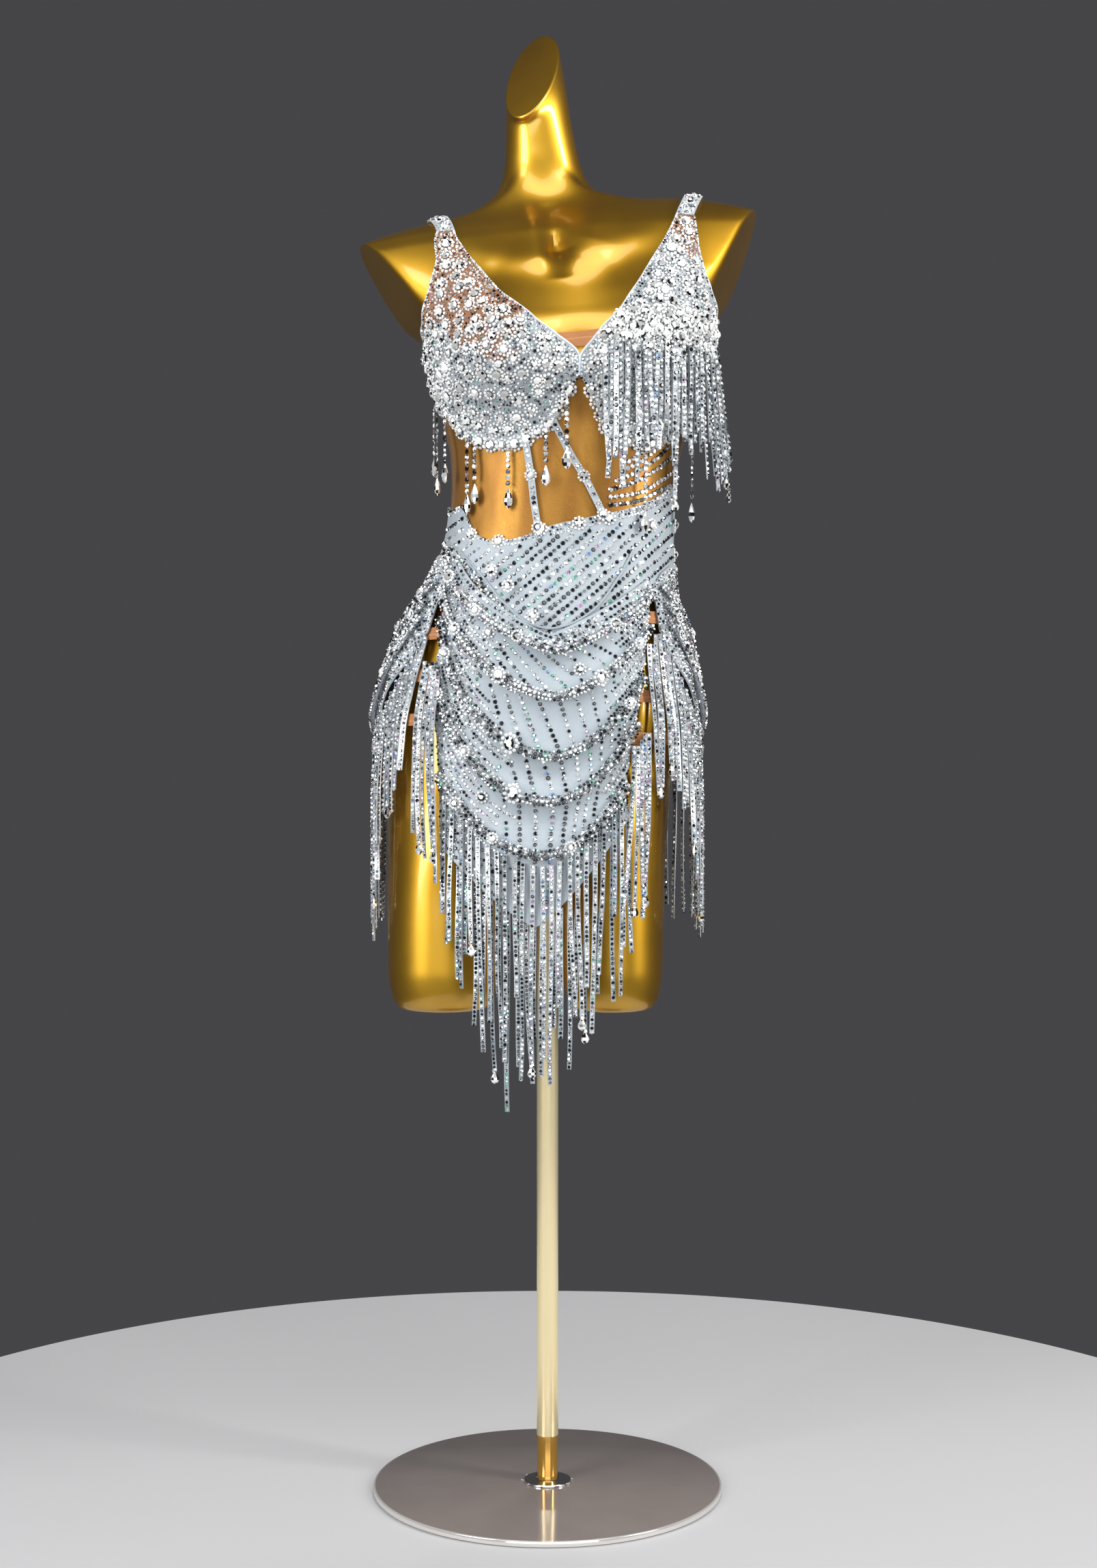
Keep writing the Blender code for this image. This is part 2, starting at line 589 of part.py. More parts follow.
def round_panel(name, edges, first, last, columns, rows, layer, look, closing=1.0):
    """A panel between two heights, from one angle round to another.

    A closing over 1 draws its rows together towards the top.
    """
    table = Table(EDGE_COLUMNS, edges)

    def at(u, v, out):
        angle = mix(first, last, u)
        edge = table.at(angle)
        return moved_out(on_body, angle, mix(edge.top, edge.bottom, v**closing), out)

    wall(name, at, columns, rows, layer, look)


def cup(name, outline, turned):
    """A cup between its armhole side, neckline, strap end and lower edge."""
    outer, neckline, bottom = (route(line) for line in (outline.outer, outline.neckline, outline.bottom))

    def at(u, v, out):
        if turned:
            u = 1 - u
        top = mix(outer(0), neckline(0), u)
        sides = mix(outer(v), neckline(v), u)
        ends = mix(top, bottom(u), v)
        corners = mix(top, mix(outer(1), neckline(1), u), v)
        angle, height = sides + ends - corners
        return moved_out(on_body, angle, height, out)

    wall(name, at, 12, 12, CLOTH_LAYER, MATERIALS.cloth)


def strap(name, skin, front, back):
    """A strap over the shoulder, from a cup's top to the back panel, both (angle, height).

    It bows outwards on the top of the shoulder, where the arm's slope draws it.
    """
    start = moved_out(on_body, *front, CLOTH_LAYER[0])
    end = moved_out(on_body, *back, CLOTH_LAYER[0])
    middle = Vector((0, 0.028, 1.262))

    def turn_of(point):
        turn = math.degrees(math.atan2(point.z - middle.z, middle.y - point.y))
        return turn % 360

    first, last = turn_of(start), turn_of(end)

    def at(u, v, out):
        turn = math.radians(mix(first, last, v))
        inwards = smoothstep((v - 0.35) / 0.65)
        bow = math.copysign(STRAP_BOW, start.x) * math.sin(math.pi * min(v / 0.6, 1))
        x = mix(start.x, end.x, inwards) + bow + STRAP_WIDTH * (0.5 - u)
        origin = Vector((x, middle.y, middle.z))
        ray = Vector((0, -math.cos(turn), math.sin(turn)))
        place, normal, _, _ = skin.ray_cast(origin, ray)
        across = Vector((1, 0, 0))
        away = (ray - across * ray.dot(across)).normalized()
        steady = (normal + away).normalized()
        return place + steady * out

    wall(name, at, 2, 18, CLOTH_LAYER, MATERIALS.cloth)


def band(name, points):
    """A narrow band laid on the bodice's layer, along a line of (angle, height)."""
    line = route(points)

    def at(u, v, out):
        here, ahead = line(v), line(min(v + 0.02, 1)) - line(max(v - 0.02, 0))
        place = moved_out(on_body, *here, out)
        along = on_body(*(here + ahead)) - on_body(*here)
        normal = moved_out(on_body, *here, 1) - on_body(*here)
        return place + along.cross(normal).normalized() * BAND_WIDTH * (0.5 - u)

    wall(name, at, 1, 8, TRIM_LAYER, MATERIALS.cloth)


def build_bodice(skin):
    cup("bodice_cup_right", RIGHT_CUP, False)
    cup("bodice_cup_left", LEFT_CUP, True)
    strap("strap_right", skin, (-30.2, 1.2860), (211, 1.1728))
    strap("strap_left", skin, (35.0, 1.2803), (149, 1.1718))
    cloth, nude = MATERIALS.cloth, MATERIALS.nude
    round_panel("bodice_back", BODICE_BACK_EDGES, 90.2, 269.8, 20, 2, CLOTH_LAYER, cloth)
    round_panel("neckline_elastic", NECKLINE_ELASTIC_EDGES, -4.5, 8.6, 7, 2, MESH_LAYER, nude)
    round_panel("midriff_front", MIDRIFF_FRONT_EDGES, -89.8, 89.8, 32, 5, MESH_LAYER, nude, 1.4)
    round_panel("midriff_back", MIDRIFF_BACK_EDGES, 90.2, 269.8, 16, 3, MESH_LAYER, nude)
    round_panel("yoke_front", YOKE_FRONT_EDGES, -89.8, 89.8, 24, 3, CLOTH_LAYER, cloth)
    round_panel("yoke_back", YOKE_BACK_EDGES, 90.2, 269.8, 16, 3, CLOTH_LAYER, cloth)
    for name, points in BANDS:
        band(name, points)


# Apron and back skirt

def apron_place(s, row):
    """(angle, height) across a swag: s runs from -1 at the wearer's right to 1 at the left."""
    swag = SWAGS.at(row)
    end, height, power = (
        (swag.right_angle, swag.right_height, swag.right_power)
        if s < 0
        else (swag.left_angle, swag.left_height, swag.left_power)
    )
    share = abs(s)
    return mix(swag.low_angle, end, share), mix(swag.low_height, height, share**power)


def apron_at(s, row, out, fold=None):
    angle, height = apron_place(s, row)
    crest = APRON_FOLD * smoothstep(row) * (1 - 0.55 * abs(s))
    if fold is None:
        fold = (1 + math.cos(2 * math.pi * row)) / 2
    on_hip = moved_out(on_body, angle, max(height, BODY_SECTIONS[0][0]), HIP_OUT + out)
    hanging = moved_out(on_skirt, angle, height, out + crest * fold)
    return mix(on_hip, hanging, smoothstep(row / SKIRT_EASE_ROWS))


def apron_line(row, count, out):
    """Points along a swag of the apron, for what lies on it."""
    return [apron_at(2 * i / count - 1, row, out, fold=1) for i in range(count + 1)]


def back_skirt_at(angle, share, out, wave=None):
    edge = BACK_SKIRT.at(angle)
    height = mix(edge.top, edge.bottom, share)
    first, last = BACK_SKIRT_EDGES[0][0], BACK_SKIRT_EDGES[-1][0]
    if wave is None:
        turns = BACK_SKIRT_WAVES * (angle - first) / (last - first)
        wave = (1 - math.cos(2 * math.pi * turns)) / 2
    on_hip = moved_out(on_body, angle, height, HIP_OUT + out)
    hanging = moved_out(on_skirt, angle, height, out + BACK_SKIRT_WAVE_OUT * share * wave)
    return mix(on_hip, hanging, smoothstep(share * 3))


def build_apron():
    low_row = APRON_SWAGS[-1][0]
    cloth, rope = MATERIALS.cloth, MATERIALS.jewel
    wall(
        "apron", lambda u, v, out: apron_at(2 * u - 1, low_row * v, out), 14, 3 * low_row,
        (0, CLOTH_THICK), cloth,
    )
    lift = CLOTH_THICK + ROPE_RADIUS + TRIM_LIFT
    for row in range(1, low_row):
        tube(f"rope_front_{row}", apron_line(row, 16, lift), ROPE_RADIUS, rope)
    up = PIPING_RADIUS + 0.0008
    out = CLOTH_LAYER[1] + PIPING_RADIUS + 0.0006
    places = [apron_place(i / 9 - 1, 0) for i in range(19)]
    line = [moved_out(on_body, angle, height + up, out) for angle, height in places]
    tube("cowl_piping", line, PIPING_RADIUS, cloth)


def build_back_skirt():
    first, last = BACK_SKIRT_EDGES[0][0], BACK_SKIRT_EDGES[-1][0]
    wall(
        "skirt_back", lambda u, v, out: back_skirt_at(mix(first, last, u), v, out),
        4 * BACK_SKIRT_WAVES, 4, (0, CLOTH_THICK), MATERIALS.cloth,
    )
    swags = Table(BACK_SWAG_COLUMNS, BACK_SWAGS)
    lift = CLOTH_THICK + ROPE_RADIUS + 1.5 * TRIM_LIFT
    segments = 24
    for row, _, _ in BACK_SWAGS:
        swag = swags.at(row)
        line = []
        for i in range(segments + 1):
            angle = mix(*BACK_SWAG_ENDS, i / segments)
            share = abs(2 * i / segments - 1) ** BACK_SWAG_POWER
            height = mix(swag.low_height, swag.end_height, share)
            edge = BACK_SKIRT.at(angle)
            down = (edge.top - height) / (edge.top - edge.bottom)
            line.append(back_skirt_at(angle, down, lift, wave=1))
        tube(f"rope_back_{row}", line, ROPE_RADIUS, MATERIALS.jewel)
    for i, (side, height, first, last) in enumerate(SLIT_ELASTICS):
        slit_elastic(f"slit_elastic_{side}_{i % 3 + 1}", height, min(first, last), max(first, last))


def slit_elastic(name, height, first, last):
    def at(u, v, out):
        return moved_out(on_skirt, mix(first, last, u), height + ELASTIC_WIDTH * (0.5 - v), out)

    wall(name, at, 4, 1, ELASTIC_LAYER, MATERIALS.nude)


# Fringe

def level(direction):
    return Vector((direction.x, direction.y, 0)).normalized()


def uneven(i, size):
    """A small, even-handed difference in length from strand to strand."""
    return size * math.sin(2.4 * i + 0.7) + 0.5 * size * math.sin(1.1 * i)


def clear_of(surface, angle, low, high, out, base, away):
    """How far base has to move along away to lie outside the surface between two heights."""
    steps = [moved_out(surface, angle, mix(low, high, i / 6), out) for i in range(7)]
    return max(0.0, max((step - base).dot(away) for step in steps))


def post_of(surface, angle, height, out, low, high):
    """A post that stands that far out from a surface and clear of it between two heights."""
    base = moved_out(surface, angle, height, out)
    away = level(base - surface(angle, height))
    return base + away * clear_of(surface, angle, low, high, out, base, away), away


def strand(bm, ring, rows):
    """Carries a ring down through rows, each as its middle and its size next to the root."""
    root = sum((vert.co for vert in ring), Vector()) / 4
    spread = [vert.co.xy - root.xy for vert in ring]
    for middle, size in rows:
        lower = [bm.verts.new((*(middle.xy + corner * size), middle.z)) for corner in spread]
        for j in range(4):
            n = (j + 1) % 4
            bm.faces.new((ring[j], ring[n], lower[n], lower[j]))
        ring = lower
    return ring


def fringe(name, posts, hung, rows_of, look):
    """Strands fused to a narrow backing strip.

    Each post is the backing's lower inner corner there, and the level direction away from the
    body. A strand hangs between posts k and k + 1 for each k in hung, and rows_of(i, middle) gives
    the rows of strand i.
    """
    bm = bmesh.new()
    high = Vector((0, 0, BACKING_HEIGHT))
    ends = []
    for corner, away in posts:
        outer = corner + away * BACKING_THICK
        ends.append([bm.verts.new(place) for place in (corner, outer, outer + high, corner + high)])
    for k, (a, b) in enumerate(zip(ends, ends[1:])):
        bm.faces.new((a[1], b[1], b[2], a[2]))
        bm.faces.new((a[2], b[2], b[3], a[3]))
        bm.faces.new((a[3], b[3], b[0], a[0]))
        ring = [a[0], b[0], b[1], a[1]]
        if k in hung:
            middle = sum((vert.co for vert in ring), Vector()) / 4
            ring = strand(bm, ring, rows_of(hung.index(k), middle))
        bm.faces.new(ring)
    bm.faces.new(ends[0])
    bm.faces.new(reversed(ends[-1]))
    bmesh.ops.recalc_face_normals(bm, faces=bm.faces)
    return add_object(name, bm, look)


def even_fringe(name, edge, count, width, rows_of):
    """A fringe of equally spaced strips along edge(t), where rows_of(i, t, middle) gives rows."""
    fine = 240
    samples = [edge(i / fine)[0] for i in range(fine + 1)]
    along = [0.0]
    for a, b in zip(samples, samples[1:]):
        along.append(along[-1] + (b.xy - a.xy).length)

    def share_at(distance):
        i = next((i for i in range(fine) if along[i + 1] >= distance), fine - 1)
        return min((i + (distance - along[i]) / (along[i + 1] - along[i])) / fine, 1)

    middles = [mix(width / 2, along[-1] - width / 2, i / (count - 1)) for i in range(count)]
    posts = [edge(share_at(middle + side * width / 2)) for middle in middles for side in (-1, 1)]
    hung = [2 * i for i in range(count)]
    fringe(
        name, posts, hung, lambda i, middle: rows_of(i, share_at(middles[i]), middle),
        MATERIALS.cloth,
    )


def build_apron_fringe():
    """Strips along the hem, and a second layer that hangs from the lowest rope."""
    low_row = APRON_SWAGS[-1][0]
    ends = Table(("x", "end"), APRON_ENDS)
    below = BACKING_HEIGHT + 0.0012
    for name, row, reach, out, down, count, vary in (
        ("fringe_hem", low_row, 1.0, 0, below, 27, 0.013),
        ("fringe_swag", low_row - 0.9, 0.95, CLOTH_THICK + TRIM_LIFT, below + ROPE_RADIUS, 22, 0.018),
    ):
        def edge(t, row=row, reach=reach, out=out, down=down):
            corner = apron_at(reach * (2 * t - 1), row, out, fold=1) - Vector((0, 0, down))
            return corner, level(Vector((corner.x, corner.y - 0.06, 0)))

        def rows_of(i, _, middle, vary=vary):
            return [(Vector((middle.x, middle.y, ends.at(middle.x).end + uneven(i, vary))), 1.0)]

        even_fringe(name, edge, count, STRIP_WIDTH, rows_of)


def follow(middle, surface, root, out, places):
    """Rows that keep their distance from a surface on their way down through places on it."""
    start = moved_out(surface, *root, out)
    return [(middle + moved_out(surface, *place, out) - start, 1.0) for place in places]


def build_tabs():
    """Short runs of strips beside the slits, which follow the skirt's outline down."""
    for name, lift, first, last, first_end, last_end in FRINGE_TABS:
        out = CLOTH_THICK + APRON_FOLD / 2 + 0.0008 + lift

        def edge(t, out=out, first=first, last=last):
            angle, height = mix(Vector(first), Vector(last), t)
            corner = moved_out(on_skirt, angle, height, out)
            return corner, level(corner - on_skirt(angle, height))

        def rows_of(
            i, t, middle, out=out, first=first, last=last, first_end=first_end, last_end=last_end
        ):
            root = mix(Vector(first), Vector(last), t)
            end = mix(Vector(first_end), Vector(last_end), t) + Vector((0, uneven(i, 0.012)))
            places = [mix(root, end, share) for share in (0.33, 0.66, 1.0)]
            return follow(middle, on_skirt, root, out, places)

        even_fringe(name, edge, 4, STRIP_WIDTH * 0.72, rows_of)


def build_back_fringe():
    """Strips along the hem of the back skirt. They follow the flare of the hips down."""
    ends = Table(("angle", "end"), BACK_SKIRT_ENDS)
    below = Vector((0, 0, BACKING_HEIGHT + 0.0008))
    for name, first, last, count, rows in (
        ("fringe_left", 51.3, 108.5, 19, 2),
        ("fringe_back", 110, 250, 28, 1),
        ("fringe_right", 251.5, 309.7, 19, 2),
    ):
        def edge(t, first=first, last=last):
            angle = mix(first, last, t)
            corner = back_skirt_at(angle, 1, 0, wave=0.5) - below
            return corner, level(moved_out(on_skirt, angle, corner.z, 1) - on_skirt(angle, corner.z))

        def rows_of(i, t, middle, first=first, last=last, rows=rows):
            angle = mix(first, last, t)
            end = ends.at(angle).end + uneven(i, 0.011)
            places = [(angle, mix(middle.z, end, (j + 1) / rows)) for j in range(rows)]
            return follow(middle, on_skirt, (angle, middle.z), BACK_SKIRT_WAVE_OUT / 2, places)

        even_fringe(name, edge, count, STRIP_WIDTH, rows_of)


def build_bodice_fringe():
    """Two layers of strips that hang free in front of the left cup."""
    ends = Table(("angle", "end"), BODICE_ENDS)
    for name, first, last, out, count, shorter in (
        ("fringe_bodice_lower", (13.5, 1.149), (79.0, 1.147), 0.0050, 25, 0.000),
        ("fringe_bodice_upper", (18.0, 1.160), (70.0, 1.162), 0.0072, 19, 0.025),
    ):
        def edge(t, first=first, last=last, out=out):
            angle, height = mix(Vector(first), Vector(last), t)
            return post_of(on_body, angle, height, out, height - 0.03, height)

        def rows_of(i, t, middle, first=first, last=last, shorter=shorter):
            angle = mix(first[0], last[0], t)
            end = ends.at(angle).end + uneven(i, 0.008) + shorter
            swing = 0.010 * smoothstep((angle - 55) / 25)
            return [(Vector((middle.x + swing, middle.y, end)), 1.0)]

        even_fringe(name, edge, count, STRIP_WIDTH * 0.85, rows_of)


def build_drops():
    """Chains with a jewel at the end, fused to a strip along each cup's lower edge."""
    half_width = 0.7  # degrees
    for name, bottom, drops in DROPS:
        line = route(sorted(bottom))

        def height_at(angle, line=line):
            low, high = 0.0, 1.0
            for _ in range(24):
                middle = (low + high) / 2
                low, high = (middle, high) if line(middle).x < angle else (low, middle)
            return line(low).y

        hung, angles = [], []
        first, last = drops[0][0], drops[-1][0]
        steps = round((last - first) / 3)
        between = [mix(first, last, i / steps) for i in range(1, steps)]
        for angle, is_drop in sorted(
            [(drop[0], True) for drop in drops] + [(angle, False) for angle in between]
        ):
            if is_drop:
                hung.append(len(angles))
                angles += [angle - half_width, angle + half_width]
            elif min(abs(angle - drop[0]) for drop in drops) > 2 * half_width:
                angles.append(angle)
        posts = []
        for angle in angles:
            height = height_at(angle) - BACKING_HEIGHT - 0.0020
            top = height + BACKING_HEIGHT
            posts.append(post_of(on_body, angle, height, CLOTH_LAYER[0], height - 0.001, top))

        def rows_of(i, middle, drops=drops, posts=posts, hung=hung):
            angle, end = drops[i]
            away = posts[hung[i]][1]
            rows = []
            for height, size in ((end + 0.022, 0.7), (end + 0.011, 2.6), (end, 0.5)):
                place = Vector((middle.x, middle.y, height))
                room = CLOTH_LAYER[1] + 0.0008 + size * BACKING_THICK
                push = clear_of(on_body, angle, height - 0.004, height + 0.012, room, place, away)
                rows.append((place + away * push, size))
            return rows

        fringe(name, posts, hung, rows_of, MATERIALS.jewel)


def clear_scene():
    for old in list(bpy.data.objects):
        bpy.data.objects.remove(old, do_unlink=True)


clear_scene()
MATERIALS = SimpleNamespace(
    gold=material("gold_lacquer", (0.55, 0.36, 0.06), 0.28, metallic=0.9, coat=0.5),
    mirror=material("mirror_plate", (0.42, 0.37, 0.35), 0.08, metallic=1.0),
    chrome=material("chrome", (0.80, 0.80, 0.80), 0.10, metallic=1.0),
    cloth=material("pale_blue_cloth", (0.68, 0.76, 0.84), 0.55),
    nude=material("nude_mesh", (0.68, 0.38, 0.20), 0.60),
    jewel=material("crystal", (0.85, 0.87, 0.90), 0.12, metallic=0.6),
)
build_stand()
form_skin = build_form()
build_bodice(form_skin)
build_apron()
build_back_skirt()
build_apron_fringe()
build_tabs()
build_back_fringe()
build_bodice_fringe()
build_drops()
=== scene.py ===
import math
import random
from types import SimpleNamespace

import bpy
import numpy as np
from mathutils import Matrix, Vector
from mathutils.bvhtree import BVHTree


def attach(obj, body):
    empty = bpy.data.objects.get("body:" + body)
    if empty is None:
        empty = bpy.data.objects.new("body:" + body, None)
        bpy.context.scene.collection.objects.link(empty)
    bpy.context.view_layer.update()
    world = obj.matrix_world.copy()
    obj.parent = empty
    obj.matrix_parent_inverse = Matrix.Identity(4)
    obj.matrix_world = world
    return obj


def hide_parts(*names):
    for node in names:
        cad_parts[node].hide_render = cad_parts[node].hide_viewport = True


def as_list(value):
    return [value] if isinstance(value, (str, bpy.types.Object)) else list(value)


# A salsa dance dress on a gold torso form. Metres, +Z up, the front faces -Y and +X is the wearer's left.
# A place on the body is an angle and a height: 0 degrees is the front and 90 the wearer's left side.

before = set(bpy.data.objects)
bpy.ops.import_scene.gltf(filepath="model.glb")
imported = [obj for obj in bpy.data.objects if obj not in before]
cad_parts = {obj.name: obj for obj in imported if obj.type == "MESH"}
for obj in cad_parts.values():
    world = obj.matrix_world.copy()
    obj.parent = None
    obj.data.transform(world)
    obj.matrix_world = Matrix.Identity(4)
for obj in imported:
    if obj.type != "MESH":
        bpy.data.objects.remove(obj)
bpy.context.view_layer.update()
print("frame loaded:", len(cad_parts), "nodes")


# ---- shader helpers

class shade:
    # a node's output: +, - and * on it add Math nodes
    def __init__(self, tree, socket=None):
        self.tree = tree
        self.socket = socket

    def node(self, kind, settings=None, inputs=None, output=0):
        made = self.tree.nodes.new("ShaderNode" + kind)
        for key, value in (settings or {}).items():
            if key == "stops":
                ramp = made.color_ramp
                while len(ramp.elements) < len(value):
                    ramp.elements.new(1)
                for element, (place, colour) in zip(ramp.elements, value):
                    element.position = place
                    element.color = (*colour, 1)
            else:
                setattr(made, key, value)
        for key, value in (inputs or {}).items():
            if isinstance(value, shade):
                self.tree.links.new(value.socket, made.inputs[key])
            else:
                made.inputs[key].default_value = value
        return shade(self.tree, made.outputs[output])

    def maths(self, operation, a, b=0.0):
        return self.node("Math", {"operation": operation}, {0: a, 1: b})

    def __add__(self, other):
        return self.maths("ADD", self, other)

    def __sub__(self, other):
        return self.maths("SUBTRACT", self, other)

    def __rsub__(self, other):
        return self.maths("SUBTRACT", other, self)

    def __mul__(self, other):
        return self.maths("MULTIPLY", self, other)

    __radd__ = __add__
    __rmul__ = __mul__

    def clamp(self, low, high):
        return self.maths("MINIMUM", self.maths("MAXIMUM", self, low), high)

    def between(self, low, high):
        # 0 below low, 1 above high, smooth in between
        return self.node(
            "MapRange", {"interpolation_type": "SMOOTHSTEP"},
            {"Value": self, "From Min": low, "From Max": high},
        )

    def colours(self, a, b):
        # colour a where this is 0 and b where it is 1
        return self.node("Mix", {"data_type": "RGBA"}, {0: self, 6: rgba(a), 7: rgba(b)}, 2)


def rgba(colour):
    return colour if isinstance(colour, shade) else (*colour, 1)


def newMaterial(name, fixed, paint=None):
    # fixed: constant sockets. paint(kit) returns what varies over the surface, as {socket: value}
    made = bpy.data.materials.new(name)
    made.use_nodes = True
    tree = made.node_tree
    shader = tree.nodes["Principled BSDF"]
    for key, value in fixed.items():
        shader.inputs[key].default_value = rgba(value) if isinstance(value, tuple) else value
    if paint:
        kit = shade(tree)
        for key, value in paint(kit).items():
            tree.links.new(value.socket, shader.inputs[key])
    return made


def coordinates(kit, kind="Object"):
    # Object is metres on the piece, and UV metres on the cloth as it was cut
    outputs = ("Generated", "Normal", "UV", "Object")
    return kit.node("TexCoord", output=outputs.index(kind))


def axisOf(kit, number, kind="UV"):
    # one of the three numbers of a coordinate
    return kit.node("SeparateXYZ", {}, {0: coordinates(kit, kind)}, number)


def scaled(kit, scale, kind="UV"):
    return kit.node("Mapping", {}, {0: coordinates(kit, kind), 3: scale})


def noise(kit, scale, detail=2.0, roughness=0.5, space=None):
    space = space or coordinates(kit)
    return kit.node(
        "TexNoise", {}, {"Vector": space, "Scale": scale, "Detail": detail, "Roughness": roughness}
    )


def bump(kit, height, strength, distance):
    return kit.node("Bump", {}, {"Height": height, "Strength": strength, "Distance": distance})


# ---- smooth curves and the surfaces that everything lies on

class curveTable:
    # rows of numbers under named columns, read as smooth curves along the first column
    def __init__(self, columns, rows):
        self.columns = columns.split()
        self.rows = np.array(rows, float)
        rise = np.diff(self.rows, axis=0) / np.diff(self.rows[:, :1], axis=0)
        before, after = rise[:-1], rise[1:]
        total = np.where(before * after > 0, before + after, 1)
        inner = np.where(before * after > 0, 2 * before * after / total, 0)
        self.slopes = np.vstack([rise[:1], inner, rise[-1:]])

    def at(self, key):
        keys = self.rows[:, 0]
        key = np.clip(np.asarray(key, float), keys[0], keys[-1])
        i = np.clip(np.searchsorted(keys, key) - 1, 0, len(keys) - 2)
        step = keys[i + 1] - keys[i]
        t = ((key - keys[i]) / step)[..., None]
        step = step[..., None]
        values = (
            (2 * t**3 - 3 * t**2 + 1) * self.rows[i]
            + (t**3 - 2 * t**2 + t) * step * self.slopes[i]
            + (3 * t**2 - 2 * t**3) * self.rows[i + 1]
            + (t**3 - t**2) * step * self.slopes[i + 1]
        )
        return SimpleNamespace(**{name: values[..., n] for n, name in enumerate(self.columns)})


def smooth(t):
    t = np.clip(t, 0, 1)
    return t * t * (3 - 2 * t)


def mix(a, b, t):
    return a + (b - a) * t


def arrays(*values):
    # numbers and arrays, all brought to one shape
    return np.broadcast_arrays(*(np.asarray(value, float) for value in values))


def stack(*parts):
    return np.stack(np.broadcast_arrays(*parts), axis=-1)


def unit(vectors):
    return vectors / np.maximum(np.linalg.norm(vectors, axis=-1, keepdims=True), 1e-12)


def addedUp(steps):
    return np.concatenate([[0], np.cumsum(steps)])


def runAlong(points):
    # how far along a line each of its points is
    return addedUp(np.linalg.norm(np.diff(points, axis=0), axis=1))


degreeLong = 0.0022  # metres round the body for each degree, about


def route(points):
    # a smooth line through (angle, height) points, read from 0 to 1 along its length
    points = np.array(points, float)
    steps = np.hypot(np.diff(points[:, 0]) * degreeLong, np.diff(points[:, 1]))
    along = addedUp(steps) / steps.sum()
    table = curveTable("along angle height", np.column_stack([along, points]))

    def at(t):
        found = table.at(t)
        return stack(found.angle, found.height)

    return at


bodyColumns = "height centreX halfWidth front back widestY roundness tiltX tiltY"
bodyShape = {
    "sections": (
        (0.735, -0.019, 0.148, -0.078, 0.098, 0.012, 2.3, 0, 0),
        (0.775, -0.013, 0.149, -0.083, 0.112, 0.012, 2.3, 0, 0),
        (0.815, -0.0088, 0.1472, -0.086, 0.117, 0.012, 2.25, 0, 0),
        (0.86, -0.0055, 0.138, -0.087, 0.108, 0.01, 2.2, 0, 0),
        (0.905, -0.001, 0.1275, -0.086, 0.09, 0.006, 2.15, 0, 0),
        (0.945, 0.008, 0.117, -0.084, 0.076, 0.002, 2.1, 0, 0),
        (0.98, 0.013, 0.1125, -0.081, 0.068, 0, 2.1, 0.01, 0),
        (1.003, 0.0148, 0.1118, -0.079, 0.0643, 0, 2.1, 0.015, 0),
        (1.032, 0.0166, 0.1128, -0.078, 0.0636, 0, 2.1, 0.022, 0),
        (1.06, 0.019, 0.1165, -0.08, 0.068, 0.001, 2.1, 0.03, 0),
        (1.08, 0.0202, 0.1217, -0.081, 0.072, 0.002, 2.1, 0.035, 0),
        (1.1, 0.0215, 0.1275, -0.083, 0.077, 0.003, 2.1, 0.04, 0),
        (1.12, 0.0224, 0.134, -0.084, 0.081, 0.004, 2.12, 0.045, 0),
        (1.14, 0.023, 0.14, -0.084, 0.085, 0.006, 2.15, 0.05, 0),
        (1.157, 0.0228, 0.1434, -0.083, 0.088, 0.008, 2.17, 0.055, 0),
        (1.176, 0.0225, 0.147, -0.082, 0.09, 0.01, 2.2, 0.06, 0),
        (1.19, 0.0205, 0.16, -0.079, 0.091, 0.013, 2.25, 0.07, 0),
        (1.208, 0.017, 0.186, -0.075, 0.091, 0.016, 2.25, 0.08, 0),
        (1.23, 0.014, 0.206, -0.069, 0.09, 0.018, 2.25, 0.08, 0),
        (1.255, 0.011, 0.216, -0.059, 0.087, 0.021, 2.25, 0.085, 0),
        (1.275, 0.0095, 0.218, -0.048, 0.082, 0.023, 2.25, 0.09, 0),
        (1.29, 0.009, 0.212, -0.037, 0.076, 0.025, 2.2, 0.092, 0.02),
        (1.301, 0.008, 0.185, -0.028, 0.069, 0.025, 2.15, 0.095, 0.05),
        (1.309, 0.007, 0.15, -0.021, 0.063, 0.024, 2.1, 0.1, 0.09),
        (1.3135, 0.006, 0.118, -0.017, 0.06, 0.024, 2.05, 0.105, 0.13),
        (1.317, 0.0045, 0.092, -0.014, 0.058, 0.023, 2, 0.095, 0.18),
        (1.322, 0.002, 0.071, -0.012, 0.057, 0.022, 2, 0.06, 0.25),
        (1.3315, -0.0005, 0.053, -0.01, 0.056, 0.022, 2, 0.02, 0.32),
        (1.348, -0.0035, 0.0425, -0.009, 0.054, 0.022, 2, 0, 0.42),
        (1.368, -0.006, 0.0378, -0.009, 0.052, 0.021, 2, 0.02, 0.55),
        (1.395, -0.009, 0.0342, -0.011, 0.05, 0.019, 2, 0.15, 0.7),
        (1.425, -0.0122, 0.0308, -0.014, 0.048, 0.016, 2, 0.45, 1),
        (1.45, -0.0155, 0.0275, -0.02, 0.049, 0.014, 2, 0.8, 1.42),
    ),
    "bustX": 0.03,
    "bustSpread": 0.078,
    "bustHeight": 1.15,
    "bustProud": 0.044,
    "bustWide": 0.047,
    "bustAbove": 0.046,
    "bustBelow": 0.036,
    "bustFade": 0.4,
}
bodyTable = curveTable(bodyColumns, bodyShape["sections"])
hipHeight = bodyShape["sections"][0][0]

